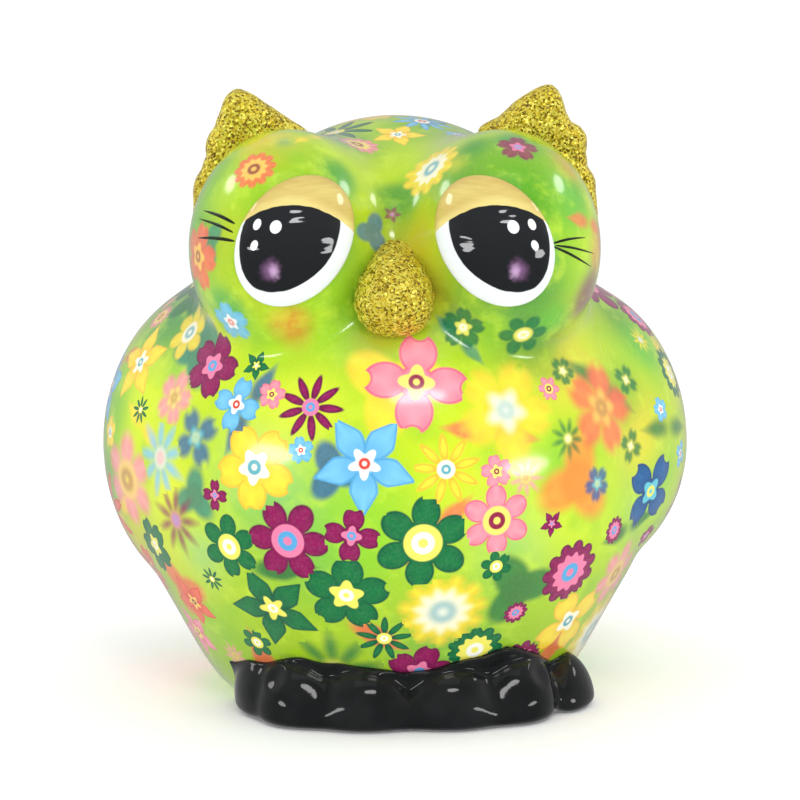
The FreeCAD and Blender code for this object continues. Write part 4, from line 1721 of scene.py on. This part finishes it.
@dataclass
class Eyes:
    """Two low domes on the eye lobes, with their paint and lashes."""

    form: OwlForm
    half_width: float = 12.95
    half_height: float = 16.7
    tilt: float = 35.0
    proud: float = 2.7
    columns: int = 160
    rows: int = 40
    centre: Pair = (24.2, 121.85)
    lashes: dict[Side, tuple[Numbers, ...]] = field(default_factory=lambda: {
        Side.LEFT: ((37.8, 121.3, 46.6, 121.9, 0.38), (38.6, 120.9, 49.0, 117.5, 0.34),
                    (37.9, 120.8, 48.2, 114.4, 0.40)),
        Side.RIGHT: ((38.4, 126.0, 46.7, 128.2, 0.50), (38.8, 123.9, 48.0, 126.1, 0.42),
                     (38.4, 121.9, 48.2, 121.5, 0.50)),
    })

    def on_lobe(self, x: Array, z: Array) -> tuple[Array, Array]:
        """Finds places on the front of the body.

        Args:
            x: Places across.
            z: Heights.

        Returns:
            The points there and their outward normals.
        """
        origin = np.stack([x, np.full_like(x, -20.0), z], axis=-1)
        ahead = np.broadcast_to(np.array([0.0, -1.0, 0.0]), origin.shape)
        points = origin + ahead * outermost(self.form.body, origin, ahead, 60, 60)[..., None]
        return points, slope(self.form.body, points)

    def dome(self) -> tuple[Array, Array]:
        """One eye as rows of points.

        At a share s of the rim the dome stands out of the lobe by proud times
        (1 - s squared) to the power 0.42, and past the rim it sinks below it.

        Returns:
            The points by row and column, and the place of each on the eye: outwards, upwards
            and share of the rim.
        """
        s = np.concatenate([[1e-3], np.linspace(0, 1, self.rows + 1)[1:] ** 0.8, [1.02, 0.75, 0.4, 1e-3]])
        sunk = np.concatenate([np.zeros(self.rows + 1), [0.5, 1.5, 1.8, 1.8]])
        turn = np.linspace(0, 2 * math.pi, self.columns, endpoint=False)
        wide = self.half_width * s[:, None] * np.cos(turn)
        high = self.half_height * s[:, None] * np.sin(turn)
        lean = math.radians(self.tilt)
        out = wide * math.cos(lean) - high * math.sin(lean)
        up = wide * math.sin(lean) + high * math.cos(lean)
        points, normals = self.on_lobe(self.centre[0] + out, self.centre[1] + up)
        share = np.broadcast_to(s[:, None], out.shape)
        height = self.proud * np.maximum(1 - share**2, 0) ** 0.42 * (sunk[:, None] == 0)
        rows = points + normals * (height - sunk[:, None])[..., None]
        return rows, np.stack([out, up, share], axis=-1)

    def stroke(self, line: Numbers, side: Side) -> Skin:
        """One lash as a closed skin: an oval carried over the lobe, widest a third of the way along.

        Its half width is the given one times 1.9 sqrt(t) (1 - t) to the power 0.8 plus a little,
        and it stands 0.16 out of the glaze.

        Args:
            line: x and z of its start and end, and its half width.
            side: Which eye it belongs to.

        Returns:
            The skin's points, corners and face sizes.
        """
        x0, z0, x1, z1, half = line
        t = np.linspace(0, 1, 28)
        bow = 0.5 * np.sin(math.pi * t)
        x, z = x0 + (x1 - x0) * t, z0 + (z1 - z0) * t + bow
        points, normals = self.on_lobe(x, z)
        along = unit(np.gradient(points, axis=0))
        across = np.cross(along, normals)
        width = half * (1.9 * np.sqrt(t) * (1 - t) ** 0.8 + 0.06)
        turn = np.linspace(0, 2 * math.pi, 12, endpoint=False)
        height = 0.16 * np.minimum(width / half * 1.6, 1)
        rows = (points[:, None] + across[:, None] * (width[:, None] * np.cos(turn))[..., None]
                + normals[:, None] * (height[:, None] * np.sin(turn))[..., None])
        return closed_skin(mirrored(rows, side), mirrored(points[0], side), mirrored(points[-1], side))

    def build(self, finishes: Finishes) -> None:
        """Makes both eyes and both sets of lashes.

        Args:
            finishes: The bank's materials.
        """
        rows, place = self.dome()
        for side in Side:
            own = mirrored(rows, side)
            piece = skin_piece(f"eye_{side.label}_painted", own, own[0].mean(axis=0), own[-1].mean(axis=0))
            at = np.concatenate([[place[0].mean(axis=0)], place.reshape(-1, 3), [place[-1].mean(axis=0)]])
            put(piece.data, "eye_at", "FLOAT_VECTOR", "POINT", at)
            finished(piece, OWL, "eye_enamel", (f"eye_{side.label}",), finishes["eye enamel"])
            strokes = [self.stroke(line, side) for line in self.lashes[side]]
            finished(joined(f"lashes_{side.label}", strokes), OWL, "eye_enamel", (), finishes["lash paint"])


@dataclass
class Beak:
    """A blunt drop that leans back between the lobes, coated with glitter."""

    length: float = 27.0
    radius: float = 9.75
    lean: float = 40.0
    columns: int = 140
    rows: int = 96

    def build(self, finishes: Finishes) -> None:
        """Turns the drop's outline about its leaning axis.

        With u from 0 below to pi above, the place along the axis is L (1 - cos u) / 2 and the
        radius is r sin u times e to the (0.42 cos u - 0.09). Clumps of glitter lift it by a
        few tenths.

        Args:
            finishes: The bank's materials.
        """
        low, _ = cad_box("beak")
        foot = np.array([0.0, low[1] + 4.9, low[2] + 1.4])
        lean = math.radians(self.lean)
        axis = np.array([0.0, math.sin(lean), math.cos(lean)])
        front = np.array([0.0, -math.cos(lean), math.sin(lean)])
        u = np.linspace(0, math.pi, self.rows + 2)[1:-1, None]
        turn = np.linspace(0, 2 * math.pi, self.columns, endpoint=False)
        reach = self.radius * np.sin(u) * np.exp(0.42 * np.cos(u) - 0.09) + 0 * turn
        along = self.length * (1 - np.cos(u)) / 2
        lumps = (np.sin(5 * turn + 6 * u) * np.sin(15 * u + 2 * turn) * 0.22
                 + np.sin(9 * turn - 19 * u) * 0.12 + np.sin(3 * turn + 2.1) * np.sin(4 * u) * 0.18)
        reach = reach + lumps * np.minimum(reach / 4, 1)
        rows = (foot + axis * along[..., None]
                + reach[..., None] * (np.cos(turn)[:, None] * np.array([1.0, 0.0, 0.0])
                                      + 0.92 * np.sin(turn)[:, None] * front))
        piece = skin_piece("beak_glitter", rows, foot, foot + axis * self.length)
        finished(piece, OWL, "gold_glitter", ("beak",), finishes["gold glitter"])


@dataclass
class Ears:
    """Two lumpy ear tufts coated with glitter, bedded on the lobes. No two are quite alike."""

    outlines: dict[Side, tuple[Pair, ...]] = field(default_factory=lambda: {
        Side.LEFT: (
            (20.9, 146.6), (26.0, 149.2), (28.3, 151.4), (32.9, 155.0), (36.6, 157.0), (39.2, 157.7),
            (41.4, 155.6), (42.8, 150.8), (44.2, 148.1), (46.4, 147.1), (48.1, 144.8), (48.0, 140.4),
            (48.4, 136.9), (50.4, 134.1), (50.6, 130.8), (50.9, 126.8), (51.4, 122.6), (50.3, 118.4),
            (46.0, 117.2), (40.0, 122.0), (33.0, 129.5), (26.0, 137.0), (21.0, 142.5)),
        Side.RIGHT: (
            (21.5, 145.4), (26.0, 148.4), (29.0, 150.4), (32.7, 152.9), (36.4, 155.4), (39.8, 156.6),
            (42.4, 154.6), (43.9, 150.5), (45.2, 146.9), (47.3, 143.6), (47.4, 139.6), (48.6, 136.2),
            (50.4, 133.5), (50.9, 130.3), (50.6, 127.0), (51.1, 123.5), (50.6, 119.0), (49.0, 116.6),
            (45.0, 117.0), (40.0, 122.0), (33.0, 129.5), (26.0, 137.0), (21.4, 142.0)),
    })
    middle: Pair = (40.0, 140.0)
    columns: int = 300
    rows: int = 36

    def outline(self, places: tuple[Pair, ...], turn: Array) -> Array:
        """How far the crest reaches from its middle in each direction.

        The outline's places are read as direction and distance, joined by straight runs and
        then smoothed over a few degrees.

        Args:
            places: The outline, across and up.
            turn: The directions, from across towards up.

        Returns:
            A distance for each direction.
        """
        away = np.array(places) - np.array(self.middle)
        angle, reach = np.arctan2(away[:, 1], away[:, 0]), np.hypot(away[:, 0], away[:, 1])
        order = np.argsort(angle)
        found = np.interp(turn, angle[order], reach[order], period=2 * math.pi)
        kernel = np.exp(-np.linspace(-2, 2, 13) ** 2)
        padded = np.concatenate([found[-6:], found, found[:6]])
        return np.convolve(padded, kernel / kernel.sum(), "valid")

    def build(self, finishes: Finishes) -> None:
        """Makes both tufts as thick pillows.

        At a share p of the outline the half thickness is h (1 - p to the 7) to the 0.5, and
        lumps of glitter ride on it.

        Args:
            finishes: The bank's materials.
        """
        low, high = cad_box("ear_tuft_left")
        half, depth = (high[1] - low[1]) / 2, (high[1] + low[1]) / 2
        turn = np.linspace(-math.pi, math.pi, self.columns, endpoint=False)
        u = np.linspace(0, math.pi, 2 * self.rows + 1)[1:-1]
        share = np.sin(u)[:, None] ** 0.9
        thick = half * (1 - share**7) ** 0.5 * np.where(u < math.pi / 2, -1, 1)[:, None]
        for side in Side:
            reach = self.outline(self.outlines[side], turn)
            x = self.middle[0] + share * reach * np.cos(turn)
            z = self.middle[1] + share * reach * np.sin(turn)
            lumps = (np.sin(0.62 * x + 0.4 * z + side.value) * np.sin(0.7 * z - 0.3 * x) * 0.55
                     + np.sin(1.3 * x + side.value) * np.sin(1.2 * z) * 0.3)
            y = depth + thick * (1 + 0.12 * lumps) + 0.55 * lumps
            own = mirrored(np.stack([x, y, z], axis=-1), side)
            name = f"ear_tuft_{side.label}"
            piece = skin_piece(f"{name}_glitter", own, own[0].mean(axis=0), own[-1].mean(axis=0))
            finished(piece, OWL, "gold_glitter", (name,), finishes["gold glitter"])


@dataclass
class Stopper:
    """The rubber stopper: a hollow plug with a flange below and a grip for two fingers."""

    plug: float = 16.95
    seat: float = 3.0
    wall: float = 2.5
    lead: float = 1.2
    grip_half: float = 1.5
    columns: int = 128

    def build(self, finishes: Finishes) -> None:
        """Turns the cup from its outline, with small rounds, and sets the grip in it.

        The grip is a bar across the cup. Its section is a rounded oblong: half width times the
        0.35th power of sin u, keeping its sign, and half height times that of cos u.

        Args:
            finishes: The bank's materials.
        """
        low, high = cad_box("stopper")
        flange, foot, top = float(high[0]), float(low[2]), float(high[2])
        plug, seat = self.plug, self.seat
        inner, roof = plug - self.wall, top - self.wall
        outline = np.array([
            (5.0, roof), (inner - 1.2, roof), (inner - 0.35, roof - 0.35), (inner, roof - 1.2),
            (inner, foot + 0.5), (inner + 0.15, foot + 0.12), (inner + 0.5, foot), (flange - 0.7, foot),
            (flange - 0.2, foot + 0.2), (flange, foot + 0.7), (flange, seat - 0.5),
            (flange - 0.15, seat - 0.15), (flange - 0.5, seat), (plug + 0.4, seat), (plug + 0.1, seat + 0.1),
            (plug, seat + 0.4), (plug, seat + 2.2), (plug - 0.25, seat + 2.5), (plug, seat + 2.8),
            (plug, top - self.lead), (plug - 0.35, top - 0.45), (plug - self.lead, top), (plug - 2.0, top),
            (5.0, top)])
        turn = np.linspace(0, 2 * math.pi, self.columns, endpoint=False)
        cup = closed_skin(turned(outline, turn), roof * UP, top * UP)
        u = np.linspace(0, 2 * math.pi, 48, endpoint=False)
        wide, high = (np.sign(wave) * np.abs(wave) ** 0.35 for wave in (np.sin(u), np.cos(u)))
        rise = (foot + roof) / 2 + 0.2 + high * ((roof - foot) / 2 + 0.2)
        long = np.linspace(-1, 1, 24)[:, None] * (inner + 0.6)
        across = wide * self.grip_half * (1 + 0.12 * np.cos(long * 0.9))
        bar = np.stack(np.broadcast_arrays(long, across, rise), axis=-1)
        grip = closed_skin(bar, *(np.array([end, 0.0, rise.mean()]) for end in (long[0, 0], long[-1, 0])))
        piece = joined("stopper_rubber", [cup, grip])
        finished(piece, STOPPER, "stopper_rubber", ("stopper",), finishes["stopper rubber"])


# --- studio --------------------------------


class BoxShape(Enum):
    """Outlines of a soft box."""

    ROUND = "ELLIPSE"
    SQUARE = "RECTANGLE"


@dataclass(frozen=True)
class SoftBox:
    """An area light that faces the owl from an azimuth (0 in front, 90 at its left) and a rise."""

    name: str
    azimuth: float
    rise: float
    away: float
    size: Pair
    power: float
    shape: BoxShape = BoxShape.ROUND
    aim_height: float = 75.0

    def build(self) -> None:
        """Hangs the light along (sin a cos r, -cos a cos r, sin r), with a the azimuth and r the rise."""
        light = bpy.data.lights.new(self.name, "AREA")
        light.shape = self.shape.value
        light.size, light.size_y = self.size[0] * MM, self.size[1] * MM
        light.energy = self.power
        lamp = bpy.data.objects.new(self.name, light)
        turn, up = math.radians(self.azimuth), math.radians(self.rise)
        way = Vector((math.sin(turn) * math.cos(up), -math.cos(turn) * math.cos(up), math.sin(up)))
        lamp.location = way * self.away * MM + Vector((0, 0, self.aim_height * MM))
        lamp.rotation_euler = (-way).to_track_quat("-Z", "Y").to_euler()
        bpy.context.scene.collection.objects.link(lamp)


@dataclass
class Table:
    """Pale paper that runs back under the bank and curves up into a wall.

    It is clear when seen from below, and lets light through to the underside of the bank.
    """

    front: float = -1400.0
    flat: float = 2600.0
    bend: float = 700.0
    height: float = 1600.0
    half_width: float = 2600.0
    drop: float = 0.15
    rows: int = 60
    columns: int = 24
    clear_from: float = 62.0
    clear_to: float = 46.0

    def sheet(self) -> bpy.types.Mesh:
        """The sheet: a quarter round between two flats.

        With t from 0 to 1, the first flat takes 0.4 of it, the quarter round 0.3 and the wall the
        rest. The sheet lies a hair below the bank's feet.

        Returns:
            The mesh.
        """
        t = np.linspace(0, 1, self.rows)
        arc = np.clip((t - 0.4) / 0.3, 0, 1) * math.pi / 2
        y = self.front + np.minimum(t, 0.4) / 0.4 * self.flat + self.bend * np.sin(arc)
        z = self.bend * (1 - np.cos(arc)) + np.maximum(t - 0.7, 0) / 0.3 * self.height - self.drop
        x = np.linspace(-self.half_width, self.half_width, self.columns)
        points = np.stack(np.broadcast_arrays(x[None], y[:, None], z[:, None]), axis=-1)
        here = np.arange(self.rows - 1)[:, None] * self.columns + np.arange(self.columns - 1)
        corners = np.stack([here, here + 1, here + self.columns + 1, here + self.columns], axis=-1)
        mesh = bpy.data.meshes.new("table")
        mesh.from_pydata((points.reshape(-1, 3) * MM).tolist(), [], corners.reshape(-1, 4).tolist())
        mesh.shade_smooth()
        return mesh

    def paper(self) -> bpy.types.Material:
        """The paper, clear on its back and, for all light but the camera's, near the middle.

        Returns:
            The material.
        """
        material = bpy.data.materials.new("table paper")
        material.use_nodes = True
        w = Wiring(material.node_tree)
        shader = material.node_tree.nodes["Principled BSDF"]
        paper = w.filled(shader, {
            "Base Color": (0.97, 0.97, 0.97), "Roughness": 0.7, "Specular IOR Level": 0.2,
            "Emission Color": (1.0, 1.0, 1.0), "Emission Strength": 0.09})
        across, along, _ = w.split(w.place())
        under = w.step(w.length(across, along), self.clear_from * MM, self.clear_to * MM)
        unseen = w.minus(1.0, w.node("ShaderNodeLightPath").outputs["Is Camera Ray"])
        back = w.node("ShaderNodeNewGeometry").outputs["Backfacing"]
        clear = w.math("MAXIMUM", w.times(under, unseen), back)
        nothing = w.node("ShaderNodeBsdfTransparent").outputs[0]
        blend = w.filled(w.node("ShaderNodeMixShader"), {0: clear, 1: paper[0], 2: nothing})
        w.feed(material.node_tree.nodes["Material Output"].inputs["Surface"], blend[0])
        return material

    def build(self) -> None:
        """Lays the sheet."""
        table = bpy.data.objects.new("table", self.sheet())
        bpy.context.scene.collection.objects.link(table)
        table.data.materials.append(self.paper())
        table.visible_glossy = False


@dataclass
class Studio:
    """The table, soft boxes in a white tent, and the camera."""

    distance: float = 800.0
    elevation: float = 9.0
    target: Point = (1.3, -10.0, 75.5)
    field_width: float = 206.9
    sensor: float = 36.0
    fill: float = 0.94
    room: float = 0.07
    wall: float = 0.46
    boxes: tuple[SoftBox, ...] = (
        SoftBox("right box", 56, 1, 900, (320, 110), 1.0),
        SoftBox("left box", -50, 7, 900, (320, 110), 1.0),
        SoftBox("right rear box", 107, 37, 900, (260, 150), 0.6),
        SoftBox("left rear box", -107, 37, 900, (260, 150), 0.6),
        SoftBox("front box", 13, 37, 950, (360, 110), 1.35),
        SoftBox("top box", 0, 66, 900, (700, 420), 0.45, BoxShape.SQUARE),
    )

    def camera(self) -> None:
        """A long lens that looks along +Y, a little down, and takes in the field's width at its distance."""
        lens = bpy.data.cameras.new("camera")
        lens.sensor_width = self.sensor
        lens.lens = self.sensor * self.distance / self.field_width
        lens.clip_end = 20.0
        eye = bpy.data.objects.new("camera", lens)
        up = math.radians(self.elevation)
        back = Vector((0, -math.cos(up), math.sin(up)))
        eye.location = (Vector(self.target) + back * self.distance) * MM
        eye.rotation_euler = (-back).to_track_quat("-Z", "Y").to_euler()
        bpy.context.scene.collection.objects.link(eye)
        bpy.context.scene.camera = eye

    def tent(self) -> None:
        """A white tent: bright for the eye and for soft light, darker in front where gloss mirrors the room.

        Gloss sees room + a smooth step towards the back times (wall - room), other light sees the
        fill, and the eye sees 1.
        """
        world = bpy.data.worlds.new("tent")
        world.use_nodes = True
        w = Wiring(world.node_tree)
        _, back, _ = w.split(w.node("ShaderNodeTexCoord").outputs["Generated"])
        path = w.node("ShaderNodeLightPath").outputs
        mirrored_room = w.plus(self.room, w.times(w.step(back, -0.55, 0.45), self.wall - self.room))
        soft = w.plus(w.times(path["Is Glossy Ray"], w.minus(mirrored_room, self.fill)), self.fill)
        seen = w.plus(w.times(path["Is Camera Ray"], w.minus(1.0, soft)), soft)
        w.filled(world.node_tree.nodes["Background"], {"Color": (1.0, 1.0, 1.0), "Strength": seen})
        bpy.context.scene.world = world

    def build(self) -> None:
        """Sets up the light, table and camera."""
        bpy.context.scene.view_settings.view_transform = "Standard"
        self.tent()
        Table().build()
        for box in self.boxes:
            box.build()
        self.camera()


def main() -> None:
    """Builds the owl piece by piece, then the studio."""
    logging.basicConfig(level=logging.INFO, format="%(name)s %(message)s")
    form = OwlForm()
    finishes = Finishes()
    middle = np.array(Body.middle)
    transfers = Transfers(form.winged, middle)
    transfers.lay()
    wash = Wash(form.winged, middle)
    Body(form).build(finishes, wash, transfers)
    Wings(form).build(finishes, wash, transfers)
    Eyes(form).build(finishes)
    Beak().build(finishes)
    Ears().build(finishes)
    Feet(form).build(finishes)
    Stopper().build(finishes)
    Studio().build()


if __name__ == "__main__":
    main()
